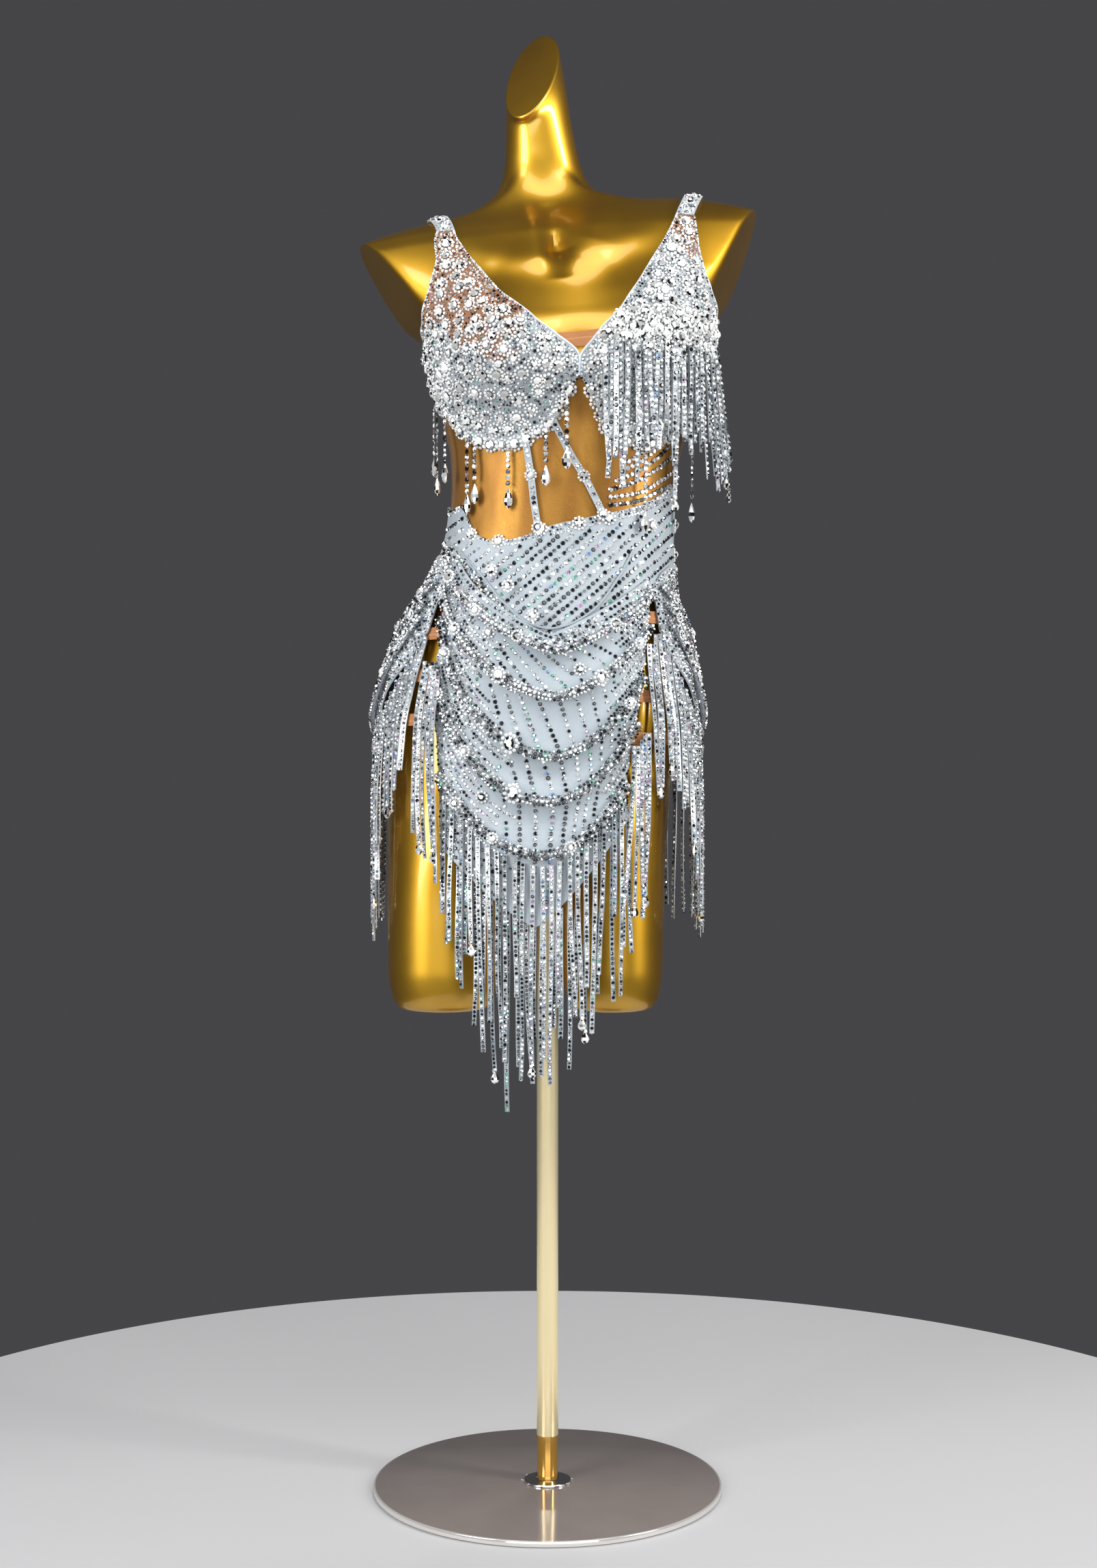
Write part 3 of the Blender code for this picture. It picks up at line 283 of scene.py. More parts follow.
skirtShape = (
    (0.48, -0.0105, 0.165, -0.1, 0.127, 0.01, 2.2, 0, 0),
    (0.7, -0.0105, 0.1665, -0.101, 0.129, 0.01, 2.2, 0, 0),
    (0.775, -0.01, 0.1635, -0.101, 0.13, 0.01, 2.2, 0, 0),
    (0.815, -0.0085, 0.156, -0.1, 0.127, 0.01, 2.2, 0, 0),
    (0.86, -0.005, 0.1455, -0.098, 0.117, 0.009, 2.2, 0, 0),
    (0.905, -0.001, 0.135, -0.095, 0.0985, 0.006, 2.15, 0, 0),
    (0.945, 0.008, 0.1235, -0.0915, 0.084, 0.002, 2.1, 0, 0),
    (0.98, 0.013, 0.119, -0.0885, 0.0755, 0, 2.1, 0.01, 0),
    (1.02, 0.0155, 0.1185, -0.0855, 0.0705, 0, 2.1, 0.02, 0),
)
skirtTable = curveTable(bodyColumns, skirtShape)


def ringPoint(section, angle):
    side, ahead = np.sin(np.radians(angle)), np.cos(np.radians(angle))
    power = section.roundness
    stretch = (np.abs(side) ** power + np.abs(ahead) ** power) ** (-1 / power)
    reach = np.where(ahead > 0, section.widestY - section.front, section.back - section.widestY)
    return section.centreX + section.halfWidth * side * stretch, section.widestY - reach * ahead * stretch


def bust(x, height, ahead):
    shape = bodyShape
    tall = np.where(height > shape["bustHeight"], shape["bustAbove"], shape["bustBelow"])
    down = np.exp(-0.5 * ((height - shape["bustHeight"]) / tall) ** 2)
    across = sum(
        np.exp(-0.5 * ((x - shape["bustX"] - side * shape["bustSpread"]) / shape["bustWide"]) ** 2)
        for side in (-1, 1)
    )
    return shape["bustProud"] * down * across * smooth(ahead / shape["bustFade"])


def onBody(angle, height):
    angle, height = arrays(angle, height)
    section = bodyTable.at(height)
    x, y = ringPoint(section, angle)
    y = y - bust(x, height, np.cos(np.radians(angle)))
    z = height + section.tiltX * (x - section.centreX) + section.tiltY * (y - section.widestY)
    return stack(x, y, z)


def onSkirt(angle, height):
    angle, height = arrays(angle, height)
    section = skirtTable.at(height)
    x, y = ringPoint(section, angle)
    return stack(x, y, height + section.tiltX * (x - section.centreX))


def normalOn(surface, angle, height):
    across = surface(angle + 0.5, height) - surface(angle - 0.5, height)
    up = surface(angle, height + 0.001) - surface(angle, height - 0.001)
    return unit(np.cross(across, up))


def movedOut(surface, angle, height, distance):
    angle, height, distance = arrays(angle, height, distance)
    return surface(angle, height) + normalOn(surface, angle, height) * distance[..., None]


def laidOn(surface, angle, height, out):
    # points at a distance from a surface, and the way they face
    return movedOut(surface, angle, height, out), normalOn(surface, angle, height)


# ---- mesh helpers

def addPiece(name, points, faces, looks, slot, replaced=(), faceLooks=None, sharp=35, uvs=None):
    mesh = bpy.data.meshes.new(name)
    mesh.from_pydata(np.asarray(points, float).tolist(), [], faces)
    mesh.shade_smooth()
    mesh.set_sharp_from_angle(angle=math.radians(sharp))
    for look in looks if isinstance(looks, (list, tuple)) else [looks]:
        mesh.materials.append(look)
    if faceLooks is not None:
        mesh.polygons.foreach_set("material_index", faceLooks)
    if uvs is not None:
        layer = mesh.uv_layers.new(name="cut")
        corners = np.empty(len(mesh.loops), np.int32)
        mesh.loops.foreach_get("vertex_index", corners)
        layer.data.foreach_set("uv", np.asarray(uvs, np.float32)[corners].ravel())
    made = bpy.data.objects.new(name, mesh)
    bpy.context.scene.collection.objects.link(made)
    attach(made, "root")
    if replaced:
        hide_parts(*replaced)
    return made


def gridFaces(rows, columns, start=0, flip=False, closed=False):
    # quads over a grid of rows by columns points, counted from start
    faces = []
    for j in range(rows - 1):
        for i in range(columns if closed else columns - 1):
            n = (i + 1) % columns
            a, b = start + j * columns + i, start + j * columns + n
            c, d = start + (j + 1) * columns + n, start + (j + 1) * columns + i
            faces.append((a, b, c, d) if flip else (d, c, b, a))
    return faces


def endFaces(rows, sides, start=0):
    # the flat ends of a tube of rings
    last = start + (rows - 1) * sides
    return [tuple(range(start, start + sides)), tuple(range(last + sides - 1, last - 1, -1))]


def tubeFaces(rows, sides, start):
    quads = gridFaces(rows, sides, start, closed=True)
    return [(d, a, b, c) for a, b, c, d in quads] + endFaces(rows, sides, start)


def cloth(name, place, columns, rows, layer, finish, flat, held, rests, area=None):
    # a thin closed shell: place(u, v, out) takes arrays, layer is its inner and outer distance, and finish
    # is its look and its slot
    across = columns + 1
    u, v = np.meshgrid(np.linspace(0, 1, across), np.linspace(0, 1, rows + 1))
    inner, outer = place(u, v, layer[0]), place(u, v, layer[1])
    count = u.size
    points = np.concatenate([outer.reshape(-1, 3), inner.reshape(-1, 3)])
    faces = gridFaces(rows + 1, across) + gridFaces(rows + 1, across, count, flip=True)
    top, bottom = list(range(across)), list(range(count - across, count))
    left, right = list(range(0, count, across)), list(range(columns, count, across))
    for edge, flip in ((top, False), (bottom, True), (left, True), (right, False)):
        for a, b in zip(edge, edge[1:]):
            faces.append((b, a, count + a, count + b) if flip else (a, b, count + b, count + a))
    uvs = stack(u * flat[0], v * flat[1]).reshape(-1, 2)
    made = addPiece(f"{name}_cloth", points, faces, *finish, [name], uvs=np.concatenate([uvs, uvs]))
    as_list(rests)


def cord(name, line, radius, look, slot, replaced=(), sides=8):
    # a round cord along a line of points, with flat ends
    ahead = unit(np.gradient(line, axis=0))
    side = unit(np.cross(ahead, (0, 0, 1)))
    up = np.cross(side, ahead)
    turns = np.linspace(0, 2 * math.pi, sides, endpoint=False)[None, :, None]
    rings = line[:, None] + radius * (np.cos(turns) * side[:, None] + np.sin(turns) * up[:, None])
    faces = gridFaces(len(line), sides, closed=True) + endFaces(len(line), sides)
    return addPiece(name, rings.reshape(-1, 3), faces, look, slot, replaced)


# ---- rhinestones

stoneCuts = {
    # sides, then (size, height) of each ring from the back to the table, next to the stone's radius
    "tiny": (5, ((1.0, 0.0), (0.5, 0.7))),
    "small": (6, ((1.0, 0.0), (0.52, 0.62))),
    "round": (8, ((1.0, 0.0), (1.0, 0.22), (0.56, 0.58))),
}
stoneSet = {
    "lean": 0.12,  # how unevenly the stones sit
    # foiled facets show the silver foil or are near-black, a painted dark reflection of the surround
    "foil": 0.36,  # share of the facets that look dark or silver
    "dark": 0.4,  # share of those that look dark
}
# the first share is of flower middles given the near-white finish, a painted glint
flowerShape = {"bright": 0.45, "proud": 0.3, "foil": 0.34, "tiny": 0.4, "tinyLap": 1.05, "tinyLean": 0.3}
dropShape = {
    # (height, size) of each ring, from the point down
    "rings": ((0.5, 0.08), (0.26, 0.55), (0.0, 0.94), (-0.2, 1.0), (-0.38, 0.72), (-0.5, 0.16)),
    "sides": 8, "deep": 0.34, "clear": 0.55, "bright": 0.2,
}


class stoneBag:
    # the stones of one piece, each with a place, the way it faces, a radius and a finish
    def __init__(self, seed):
        self.random = random.Random(seed)
        self.points, self.faces, self.finishes = [], [], []
        self.count = 0

    def spread(self, size):
        return self.random.gauss(0, size)

    def finish(self, mixture):
        # a finish number drawn from (finish, share) pairs
        drawn = self.random.random() * sum(share for _, share in mixture)
        for number, share in mixture:
            drawn -= share
            if drawn <= 0:
                return number
        return mixture[-1][0]

    def add(self, place, facing, radius, finish=0, cut="small", stretch=1.0, foil=stoneSet["foil"]):
        sides, rings = stoneCuts[cut]
        place, facing = Vector(place), Vector(facing).normalized()
        guide = Vector((0, 0, 1)) if abs(facing.z) <= 0.95 else Vector((1, 0, 0))
        right = guide.cross(facing).normalized()
        up = facing.cross(right)
        start = self.random.uniform(0, 6.3) if stretch == 1.0 else 0
        # a small lean, so that each stone catches the light its own way
        lean = right * self.spread(stoneSet["lean"]) + up * self.spread(stoneSet["lean"])
        right, up = right - facing * lean.dot(right), up - facing * lean.dot(up)
        first = len(self.points)
        for size, lift in rings:
            for i in range(sides):
                turn = start + 2 * math.pi * i / sides
                away = right * math.cos(turn) + up * math.sin(turn) * stretch
                self.points.append(place + away * (radius * size) + facing * (radius * lift))
        self.faces += gridFaces(len(rings), sides, first, flip=True, closed=True)
        self.faces.append(tuple(range(len(self.points) - sides, len(self.points))))
        # silver facets for the foil and near-black facets round a bright table, as a foiled stone shows; the
        # near-black ones are a painted dark reflection
        for _ in range((len(rings) - 1) * sides):
            drawn = self.random.random()
            foiled = dark if drawn > foil * stoneSet["dark"] else silver
            self.finishes.append(finish if drawn > foil else foiled)
        self.finishes.append(finish)
        self.count += 1

    def flower(self, place, facing, radius, petals=10, stretch=1.0):
        # a big stone in a ring of tiny ones; the tiny ones and some middles take the near-white finish, a
        # painted glint
        shape = flowerShape
        place, facing = Vector(place), Vector(facing).normalized()
        right = Vector((0, 0, 1)).cross(facing).normalized()
        up = facing.cross(right)
        middle = bright if self.random.random() < shape["bright"] else clear
        raised = place + facing * radius * shape["proud"]
        self.add(raised, facing, radius, middle, "round", stretch, shape["foil"])
        tiny = radius * shape["tiny"]
        for i in range(petals):
            turn = 2 * math.pi * (i + 0.5) / petals
            away = right * math.cos(turn) * (radius + tiny) + up * math.sin(turn) * (radius * stretch + tiny)
            leaning = facing + away.normalized() * shape["tinyLean"]
            self.add(place + away, leaning, tiny * shape["tinyLap"], bright, "tiny", foil=0.0)

    def drop(self, place, facing, width, height):
        # a hanging jewel with its point up, place is its middle
        shape, sides = dropShape, dropShape["sides"]
        place, facing, up = Vector(place), Vector(facing).normalized(), Vector((0, 0, 1))
        right = up.cross(facing).normalized()
        first = len(self.points)
        for lift, size in shape["rings"]:
            for i in range(sides):
                turn = 2 * math.pi * i / sides
                ring = right * math.cos(turn) * width / 2 + facing * math.sin(turn) * width * shape["deep"]
                self.points.append(place + up * (lift * height) + ring * size)
        made = tubeFaces(len(shape["rings"]), sides, first)
        self.faces += made
        # the facets are clear, near-black as painted dark reflection, and near-white as painted glint
        for _ in made:
            drawn = self.random.random()
            shaded = dark if drawn > shape["bright"] else bright
            self.finishes.append(clear if drawn > shape["clear"] else shaded)
        self.count += 1

    def piece(self, name, *replaced):
        made = addPiece(
            name, self.points, self.faces, stoneLooks, "rhinestone", replaced,
            faceLooks=self.finishes, sharp=5,
        )
        print(f"{name}: {self.count} stones")
        return made


class packing:
    # where stones lie already, so that the next one stays clear of them
    cell = 0.006

    def __init__(self):
        self.taken = {}

    def put(self, place, radius):
        place = tuple(place)
        x, y, z = (math.floor(side / self.cell) for side in place)
        for i in (x - 1, x, x + 1):
            for j in (y - 1, y, y + 1):
                for k in (z - 1, z, z + 1):
                    for other, size in self.taken.get((i, j, k), ()):
                        if math.dist(other, place) < size + radius:
                            return False
        self.taken.setdefault((x, y, z), []).append((place, radius))
        return True


def alongLine(line, pitch, start=0.0):
    # (point, facing) pairs at an even pitch along a line, which is its points and the way each faces
    along = runAlong(line[0])
    at = np.arange(start, along[-1], pitch)
    points, facings = (np.column_stack([np.interp(at, along, side) for side in each.T]) for each in line)
    return zip(points, unit(facings))


def stoneRow(bag, line, pitch, radius, mixture, cut="small", pack=None, vary=0.08, start=0.0):
    for place, facing in alongLine(line, pitch, start):
        size = radius * (1 + bag.random.uniform(-vary, vary))
        if pack is None or pack.put(place, size * 0.9):
            bag.add(place, facing, size, bag.finish(mixture), cut)


def facingOn(place, u, v, out=0.0, **more):
    # points of a cloth and the way it faces there
    at = place(u, v, out, **more)
    return at, unit(place(u, v, out + 0.001, **more) - at)


def lineOn(surface, places, out, count=60):
    # a line laid on a surface through (angle, height) places: its points and the way they face
    at = route(places)(np.linspace(0, 1, count))
    return laidOn(surface, at[..., 0], at[..., 1], out)


# ---- view, lights and floor

view = {"place": (0.001, -2.2, 0.72), "lens": 70.4, "sensor": 36.0, "far": 60, "world": (0.06, 0.06, 0.064)}

lights = {
    # name: place, aim, width, height, watts, colour
    "key": ((1.95, -0.85, 1.5), (0, 0, 1.15), 0.48, 1.82, 50, (1, 0.99, 0.97)),
    "strip": ((-1.52, -1.4, 1.23), (0, 0, 1.23), 0.82, 1.62, 37, (1, 1, 1)),
    "front": ((0.2, -3.9, 0.76), (0, 0, 0.86), 4.2, 1.36, 54, (1, 1, 1)),
    "top": ((0, -1.7, 2.9), (0, 0, 1.15), 2.2, 1.2, 25, (1, 1, 1)),
    "right": ((1.15, -1.25, 2.55), (0, 0, 1.15), 0.9, 0.6, 8, (1, 1, 1)),
    "left": ((-1.3, -1.2, 2.35), (0, 0, 1.15), 0.7, 0.6, 7, (1, 1, 1)),
    "back": ((0.3, 1.9, 3.2), (0, 0, 0.95), 1.4, 1.2, 52, (1, 1, 1)),
}


def setUpView():
    scene = bpy.context.scene
    data = bpy.data.cameras.new("camera")
    data.lens, data.sensor_width, data.sensor_fit = view["lens"], view["sensor"], "HORIZONTAL"
    data.clip_end = view["far"]
    camera = bpy.data.objects.new("camera", data)
    camera.location = view["place"]
    camera.rotation_euler = (math.pi / 2, 0, 0)
    scene.collection.objects.link(camera)
    scene.camera = camera
    for name, (place, aim, width, height, watts, colour) in lights.items():
        light = bpy.data.lights.new(name, "AREA")
        light.shape, light.size, light.size_y = "RECTANGLE", width, height
        light.energy, light.color = watts, colour
        made = bpy.data.objects.new(name, light)
        made.location = place
        made.rotation_euler = (Vector(aim) - Vector(place)).to_track_quat("-Z", "Y").to_euler()
        made.visible_glossy = name != "back"
        scene.collection.objects.link(made)
    world = bpy.data.worlds.new("studio")
    scene.world = world
    world.use_nodes = True
    backdrop = world.node_tree.nodes["Background"]
    backdrop.inputs["Color"].default_value = rgba(view["world"])
    backdrop.inputs["Strength"].default_value = 1.0
    scene.view_settings.view_transform = "Standard"


floor = {"radius": 0.85, "sides": 200, "colour": (0.5, 0.5, 0.51)}


def buildFloor():
    turns = np.linspace(0, 2 * math.pi, floor["sides"], endpoint=False)
    points = [(math.cos(a) * floor["radius"], math.sin(a) * floor["radius"], -0.0004) for a in turns]
    mesh = bpy.data.meshes.new("floor")
    mesh.from_pydata(points, [], [tuple(range(floor["sides"]))])
    mesh.materials.append(newMaterial("paleFloor", {"Base Color": floor["colour"], "Roughness": 0.7}))
    made = bpy.data.objects.new("floor", mesh)
    bpy.context.scene.collection.objects.link(made)


setUpView()
buildFloor()
print("view, lights and floor made")


# ---- materials

tints = {
    # the two colours that each finish varies between
    "gold": ((0.76, 0.5, 0.05), (0.88, 0.6, 0.075)),
    "pole": ((0.68, 0.38, 0.075), (1.0, 0.86, 0.52)),  # bare tube, sleeve
    "mirror": ((0.3, 0.255, 0.238), (0.335, 0.288, 0.27)),
    "cloth": ((0.345, 0.396, 0.438), (0.412, 0.464, 0.508)),
    # the net's under-colour, running from painted fold shade to painted fold sheen
    "netUnder": ((0.24, 0.102, 0.013), (0.46, 0.242, 0.033)),
    "elastic": ((0.34, 0.13, 0.04), (0.48, 0.2, 0.066)),
    "cupSkin": ((0.17, 0.07, 0.03), (0.36, 0.165, 0.075)),
    # the cups' blue, darker than the cloth elsewhere: painted shade between the stones
    "cupClothShaded": ((0.24, 0.27, 0.3), (0.38, 0.42, 0.455)),
    "strip": ((0.23, 0.262, 0.29), (0.36, 0.4, 0.435)),
    "piping": ((0.5, 0.6, 0.7), (0.7, 0.79, 0.87)),
    "silverNet": ((0.75, 0.78, 0.82), (0.3, 0.33, 0.37)),
}
# the second colour here is painted shade, for the hollows between the knit's stitches
rimTint, clothHollowShade = (0.62, 0.6, 0.58), (0.29, 0.335, 0.375)
yarnTint, threadTint = (0.34, 0.15, 0.024), (0.64, 0.33, 0.14)


def paintGold(kit):
    space = coordinates(kit)
    flakes = noise(kit, 1400, 1.0, 0.6, space)
    clouds = noise(kit, 6, 3.0, 0.5, space)
    dust = noise(kit, 60, 4.0, 0.65, space)
    return {
        "Base Color": clouds.between(0.35, 0.65).colours(*tints["gold"]),
        "Roughness": 0.33 + clouds * 0.05 + dust * 0.05,
        "Normal": bump(kit, flakes, 0.05, 0.0004),
    }


goldLook = newMaterial(
    "goldLacquer",
    {"Metallic": 0.96, "Coat Weight": 1.0, "Coat Roughness": 0.11, "Coat IOR": 1.5,
     "Coat Tint": (0.72, 0.6, 0.4)},
    paintGold,
)


def paintPole(kit):
    # pale satin sleeve, with the bare polished tube below it
    sleeve = axisOf(kit, 2, "Object").between(0.0525, 0.0545)
    brushed = kit.node("TexNoise", {}, {"Vector": scaled(kit, (900, 900, 14), "Object"), "Scale": 1.0})
    return {
        "Base Color": sleeve.colours(*tints["pole"]),
        "Roughness": 0.1 + sleeve * 0.22 + brushed * 0.06,
        "Normal": bump(kit, brushed, 0.08, 0.0002),
    }


poleLook = newMaterial("poleGold", {"Metallic": 0.75, "Coat Weight": 0.3, "Coat Roughness": 0.1}, paintPole)


def paintMirror(kit):
    # grey mirror with smears and dust, and a paler rim
    space = coordinates(kit)
    smears = noise(kit, 9, 4.0, 0.6, space)
    specks = kit.node("TexVoronoi", {}, {"Vector": space, "Scale": 120.0})
    dust = 1 - specks.between(0.0, 0.05)
    reach = kit.node("VectorMath", {"operation": "LENGTH"}, {0: space}, 1)
    rim = reach.between(0.1755, 0.1768)
    return {
        "Base Color": rim.colours(smears.between(0.3, 0.7).colours(*tints["mirror"]), rimTint),
        "Roughness": (0.07 + smears * 0.05 + dust * 0.2).clamp(0.05, 0.4),
    }


mirrorLook = newMaterial(
    "mirrorPlate", {"Metallic": 0.4, "Coat Weight": 0.6, "Coat Roughness": 0.04}, paintMirror
)


def paintChrome(kit):
    marks = noise(kit, 240, 3.0, 0.6)
    return {"Roughness": 0.07 + marks * 0.12, "Normal": bump(kit, marks, 0.05, 0.0003)}


chromeLook = newMaterial("chrome", {"Base Color": (0.83, 0.82, 0.8), "Metallic": 1.0}, paintChrome)


def knit(kit, across=330, along=300):
    # the raised stitches of a fine knit, from a cloth's own cut coordinates
    space = scaled(kit, (across, along, 1))
    wales = kit.node(
        "TexWave", {"wave_type": "BANDS", "bands_direction": "X", "wave_profile": "SIN"},
        {"Vector": space, "Scale": 1.0, "Distortion": 1.5, "Detail": 1.0, "Detail Scale": 2.0}, 1,
    )
    courses = kit.node(
        "TexWave", {"wave_type": "BANDS", "bands_direction": "Y", "wave_profile": "SIN"},
        {"Vector": space, "Scale": 1.0, "Distortion": 1.0}, 1,
    )
    return wales * 0.6 + courses * 0.4


def paintCloth(kit):
    stitches = knit(kit)
    clouds = noise(kit, 14, 3.0, 0.55)
    fine = noise(kit, 800, 2.0, 0.6)
    tint = clouds.between(0.3, 0.7).colours(*tints["cloth"])
    return {
        # the knit's low places take a darker colour: painted shade in its hollows
        "Base Color": (stitches * 0.5 + fine * 0.5).between(0.1, 0.6).colours(clothHollowShade, tint),
        "Roughness": 0.42 + fine * 0.12,
        "Normal": bump(kit, stitches + fine * 0.6, 0.3, 0.00025),
    }


clothLook = newMaterial(
    "paleBlueCloth", {"Sheen Weight": 0.35, "Sheen Roughness": 0.35, "Specular IOR Level": 0.6}, paintCloth
)


def paintMesh(kit):
    # a fine skin-coloured net stretched over the gold
    holes = {"Vector": scaled(kit, (900, 900, 1)), "Scale": 1.0}
    yarn = 1 - kit.node("TexVoronoi", {"feature": "DISTANCE_TO_EDGE"}, holes).between(0.04, 0.22)
    # long soft streaks: painted shade and sheen of the net's folds
    foldShade = noise(kit, 1.0, 1.0, 0.4, scaled(kit, (34, 5, 1)))
    return {
        "Base Color": yarn.colours(foldShade.between(0.36, 0.62).colours(*tints["netUnder"]), yarnTint),
        "Roughness": 0.35 + yarn * 0.14,
        "Metallic": 0.8 - yarn * 0.35,
        "Normal": bump(kit, yarn, 0.2, 0.00015),
    }


meshLook = newMaterial("nudeMesh", {"Sheen Weight": 0.2, "Sheen Roughness": 0.4}, paintMesh)


def paintElastic(kit):
    # ribs along the elastic, and a zigzag sewn down its middle
    cut, down = axisOf(kit, 0), axisOf(kit, 1)
    ribs = kit.maths("SINE", down * 5200.0) * 0.5 + 0.5
    wave = kit.maths("PINGPONG", cut, 0.0011) * 1.4
    thread = 1 - kit.maths("ABSOLUTE", down - 0.0066 - wave).between(0.00022, 0.00042)
    fine = noise(kit, 900, 2.0, 0.6)
    return {
        "Base Color": thread.colours(ribs.colours(*tints["elastic"]), threadTint),
        "Roughness": 0.62 + fine * 0.15,
        "Normal": bump(kit, ribs * 0.5 + thread, 0.5, 0.0003),
    }


elasticLook = newMaterial("nudeElastic", {"Sheen Weight": 0.2}, paintElastic)


def paintCup(kit, low):
    # nude mesh at the top of a cup that turns into the pale blue cloth; the blue is painted darker than
    # elsewhere, as shade between the stones
    down, ragged = axisOf(kit, 1), noise(kit, 55, 2.0, 0.5)
    blue = (down + ragged * 0.16).between(low, low + 0.015)
    stitches = knit(kit)
    fine = noise(kit, 800, 2.0, 0.6)
    return {
        "Base Color": blue.colours(stitches.colours(*tints["cupSkin"]), fine.colours(*tints["cupClothShaded"])),
        "Roughness": 0.46 + fine * 0.1,
        "Normal": bump(kit, stitches, 0.3, 0.00025),
    }


cupLooks = {
    side: newMaterial(
        f"cupClothShaded_{side}", {"Sheen Weight": 0.3, "Sheen Roughness": 0.4},
        lambda kit, low=low: paintCup(kit, low),
    )
    for side, low in (("right", 0.205), ("left", 0.105))
}


def paintStrip(kit):
    # a coated strip: pale blue with a glossy clear film over it
    fine = noise(kit, 500, 3.0, 0.6)
    clouds = noise(kit, 40, 2.0, 0.5)
    return {
        "Base Color": clouds.between(0.3, 0.7).colours(*tints["strip"]),
        "Roughness": 0.16 + fine * 0.14,
        "Normal": bump(kit, fine, 0.1, 0.0003),
    }


stripLook = newMaterial(
    "coatedStrip", {"Coat Weight": 0.8, "Coat Roughness": 0.06, "Specular IOR Level": 0.7}, paintStrip
)


def paintPiping(kit):
    twist = noise(kit, 420, 2.0, 0.6)
    return {
        "Base Color": twist.colours(*tints["piping"]),
        "Roughness": 0.4 + twist * 0.15,
        "Normal": bump(kit, twist, 0.35, 0.0004),
    }


pipingLook = newMaterial("bluePiping", {"Sheen Weight": 0.3}, paintPiping)


def paintBacking(kit):
    # silver net that the stones of a rope are set on
    fine = kit.node("TexVoronoi", {}, {"Vector": coordinates(kit), "Scale": 900.0})
    return {
        "Base Color": fine.between(0.1, 0.6).colours(*tints["silverNet"]),
        "Roughness": 0.25 + fine * 0.2,
        "Normal": bump(kit, fine, 0.5, 0.0004),
    }


backingLook = newMaterial("silverNet", {"Metallic": 0.6}, paintBacking)

stoneFinishes = {
    # base colour, metallic, roughness
    "clear": ((0.94, 0.95, 0.94), 0.62, 0.06),
    # near-black: a painted dark reflection, standing in for clear crystal that mirrors a dark room
    "dark": ((0.05, 0.053, 0.056), 0.88, 0.08),
    "green": ((0.36, 0.8, 0.62), 0.7, 0.08),
    "blue": ((0.42, 0.62, 0.95), 0.7, 0.08),
    "pink": ((0.9, 0.58, 0.84), 0.7, 0.08),
    "silver": ((0.5, 0.52, 0.53), 0.85, 0.1),
    # near-white and nearly matt: a painted glint, lit whichever way it faces
    "bright": ((0.9, 0.91, 0.905), 0.2, 0.12),
}
stoneLooks = [
    newMaterial(
        "stone" + name.capitalize(),
        {"Base Color": colour, "Metallic": metallic, "Roughness": roughness,
         "Coat Weight": 0.5, "Coat Roughness": 0.02},
    )
    for name, (colour, metallic, roughness) in stoneFinishes.items()
]
clear, dark, green, blue, pink, silver, bright = range(7)
# in each mixture the near-black share is painted dark reflection and the near-white share painted glint
whiteMix = ((clear, 52), (bright, 26), (silver, 10), (dark, 8), (blue, 2), (pink, 2))
greyMix = ((clear, 34), (bright, 8), (silver, 12), (dark, 42), (green, 4))
darkMix = ((dark, 72), (silver, 16), (clear, 12))
auroraMix = ((green, 24), (blue, 12), (clear, 30), (dark, 30), (pink, 4))
shineMix = ((clear, 40), (bright, 42), (silver, 8), (dark, 6), (blue, 2), (pink, 2))
palePinkMix = ((clear, 48), (bright, 14), (pink, 10), (blue, 10), (silver, 10), (dark, 8))
blueFinish, elasticFinish = (clothLook, "pale_blue_cloth"), (elasticLook, "nude_elastic")
print("materials made")


# ---- dress form

form = {
    "angles": ((0, 50, 46), (50, 130, 64), (130, 230, 34), (230, 310, 64), (310, 360, 46)),
    "heights": (
        (0.735, 1.05, 54), (1.05, 1.18, 40), (1.18, 1.3165, 72), (1.3165, 1.37, 18), (1.37, 1.4485, 16),
    ),
    "neckEdge": 0.0022, "neckTurns": (18, 36, 54, 72, 90),
    "neckBase": (1.32, 0.022, 44),  # height, half height and passes of the smoothing there
    "stumpEdge": 0.003, "stumpStart": -0.004, "stumpBlend": 0.012, "stumpY": 0.025, "stumpTurn": 0.22,
    "stumps": (
        # tip x and z, armpit x and z
        (-0.199, 1.284, -0.13, 1.172),
        (0.218, 1.317, 0.176, 1.196),
    ),
    "archPoints": 16, "thighOutside": 300,
    "thighHeights": ((0.73, 0.54, 27), (0.534, 0.503, 8), (0.5005, 0.4893, 15)), "thighEnd": 0.489,
}
# raised and hollow places of the chest: how wide, then a line of (x, height, how far forward)
chest = (
    (0.0115, ((0.002, 1.243, 0.0026), (-0.034, 1.242, 0.0036), (-0.058, 1.247, 0.0034), (-0.1, 1.268, 0))),
    (0.012, ((0.024, 1.242, 0.0026), (0.056, 1.252, 0.0036), (0.086, 1.268, 0.0034), (0.128, 1.294, 0))),
    (0.01, ((-0.03, 1.36, 0), (-0.023, 1.305, 0.0045), (-0.013, 1.2774, 0.0066), (-0.006, 1.246, 0.0046))),
    (0.015, ((0.06, 1.35, 0), (0.052, 1.3, 0.0048), (0.042, 1.264, 0.0068), (0.036, 1.243, 0.0036))),
    (0.0078, ((-0.004, 1.31, 0), (0.003, 1.278, -0.006), (0.01, 1.252, -0.015), (0.015, 1.22, 0))),
    (0.015, ((-0.02, 1.222, 0), (-0.05, 1.229, -0.002), (-0.09, 1.238, 0))),
    (0.015, ((0.03, 1.223, 0), (0.065, 1.237, -0.0022), (0.105, 1.26, 0))),
)
